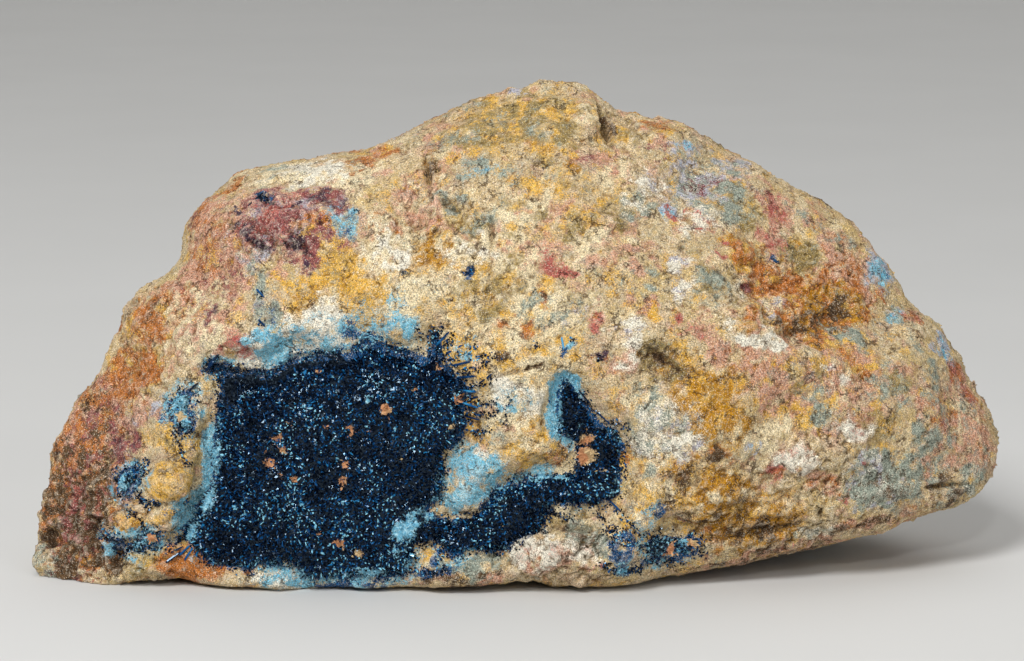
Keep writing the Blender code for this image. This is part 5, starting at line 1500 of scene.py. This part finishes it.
def makeLongBlades(surface, material):
    bm = bmesh.new()
    for u0, v0, u1, v1, width in longBlades:
        ends = []
        for u, v in ((u0, v0), (u1, v1)):
            place, normal, _, _ = surface.ray_cast(Vector(eye * mm), faceRay(u, v))
            ends.append((place + normal * longBladeShape["lift"] * mm, normal))
        (start, normal), (end, endNormal) = ends
        if (end - start).length > longBladeShape["bridging"] * math.hypot(u1 - u0, v1 - v0) * mm:
            continue
        along = (end - start).normalized()
        up = (normal + endNormal).normalized()
        side = along.cross(up).normalized() * 0.5 * width * mm
        up = up * 0.5 * width * mm
        rings = []
        for share, reach in longBladeShape["rings"]:
            middle = start.lerp(end, share)
            corners = (side + up * 0.3, up * 0.8, -side + up * 0.3, -side * 0.6 - up, side * 0.6 - up)
            rings.append([bm.verts.new(middle + corner * reach) for corner in corners])
        for below, above in zip(rings[:-1], rings[1:]):
            for k in range(5):
                bm.faces.new((below[k], below[(k + 1) % 5], above[(k + 1) % 5], above[k]))
        bm.faces.new(rings[0])
        bm.faces.new(list(reversed(rings[-1])))
    bmesh.ops.recalc_face_normals(bm, faces=bm.faces)
    mesh = meshOf(bm, "longBlades")
    perBlade = 5 * len(longBladeShape["rings"])
    random = np.random.default_rng(longBladeShape["seed"])
    tones = random.uniform(*longBladeShape["tones"], len(mesh.vertices) // perBlade)
    setFloats(mesh, "tone", np.repeat(tones, perBlade))
    finishPiece("clinoclase_long_blades", mesh, material)


studio = {
    "world": 0.30,
    # floor: distance from the middle and height in metres, out to its raised edge
    "floor": (
        (0.4, 0.0), (1.5, 0.0), (1.9, 0.03), (2.2, 0.13), (2.4, 0.32), (2.5, 0.6), (2.55, 1.0), (2.6, 1.6),
    ),
    "floorSides": 64,
    "floorTints": (colour(0.615, 0.615, 0.605), colour(0.63, 0.63, 0.62)),
    # light: place, aim, size in metres, power in watts
    "lights": {
        "key": ((-0.26, -0.50, 0.56), (0.0, 0.0, 0.02), 0.26, 4.8),
        "fill": ((0.55, -0.60, 0.35), (0.0, 0.0, 0.02), 0.5, 1.1),
        "sparkle": ((-0.05, -0.75, 0.45), (0.0, 0.0, 0.02), 0.06, 1.0),
        "overhead": ((0.2, 0.9, 2.2), (0.0, 0.4, 0.0), 3.0, 14.0),
    },
}


def makeStudio():
    bm = bmesh.new()
    rings = []
    sides = studio["floorSides"]
    turns = [2.0 * math.pi * k / sides for k in range(sides)]
    for reach, height in studio["floor"]:
        ring = [(reach * math.cos(turn), reach * math.sin(turn), height) for turn in turns]
        rings.append([bm.verts.new(place) for place in ring])
    bm.faces.new(rings[0])
    for inner, outer in zip(rings[:-1], rings[1:]):
        for k in range(sides):
            bm.faces.new((inner[k], outer[k], outer[(k + 1) % sides], inner[(k + 1) % sides]))
    mesh = meshOf(bm, "floor")
    mesh.shade_smooth()
    mesh.materials.append(floorMaterial())
    floor = linkedObject("floor", mesh)
    floor.location.z = -0.05 * mm
    for name, (place, aim, size, power) in studio["lights"].items():
        light = bpy.data.lights.new(name, "AREA")
        light.shape = "DISK"
        light.size = size
        light.energy = power
        lamp = linkedObject(name, light)
        lamp.location = place
        lamp.rotation_euler = (Vector(aim) - Vector(place)).to_track_quat("-Z", "Y").to_euler()
    world = bpy.data.worlds.new("studio")
    world.use_nodes = True
    background = world.node_tree.nodes["Background"]
    background.inputs["Color"].default_value = (1.0, 0.985, 0.96, 1.0)
    background.inputs["Strength"].default_value = studio["world"]
    bpy.context.scene.world = world
    bpy.context.scene.view_settings.view_transform = "Standard"


def makeCamera():
    data = bpy.data.cameras.new("camera")
    data.lens = faceView["lens"]
    data.sensor_width = faceView["sensorWidth"]
    data.clip_start = 0.01
    data.clip_end = 20.0
    camera = linkedObject("camera", data)
    camera.location = eye * mm
    camera.rotation_euler = (math.radians(90.0 - faceView["tilt"]), 0.0, 0.0)
    bpy.context.scene.camera = camera


makeCamera()
makeStudio()
scatterTree = makeScatterTree()
rockLook = rockMaterial(makeStainGroup())
crystalLook = crystalMaterial()
rockMesh, rockSurface = makeRock()
makeCrusts(scatterTree, rockSurface, crystalLook)
makeStrays(scatterTree, rockMesh, crystalLook)
makeLongBlades(rockSurface, crystalLook)
makeGrit(scatterTree, rockMesh, rockLook)
finishPiece("host_rock_skin", rockMesh, rockLook, ("host_rock",))
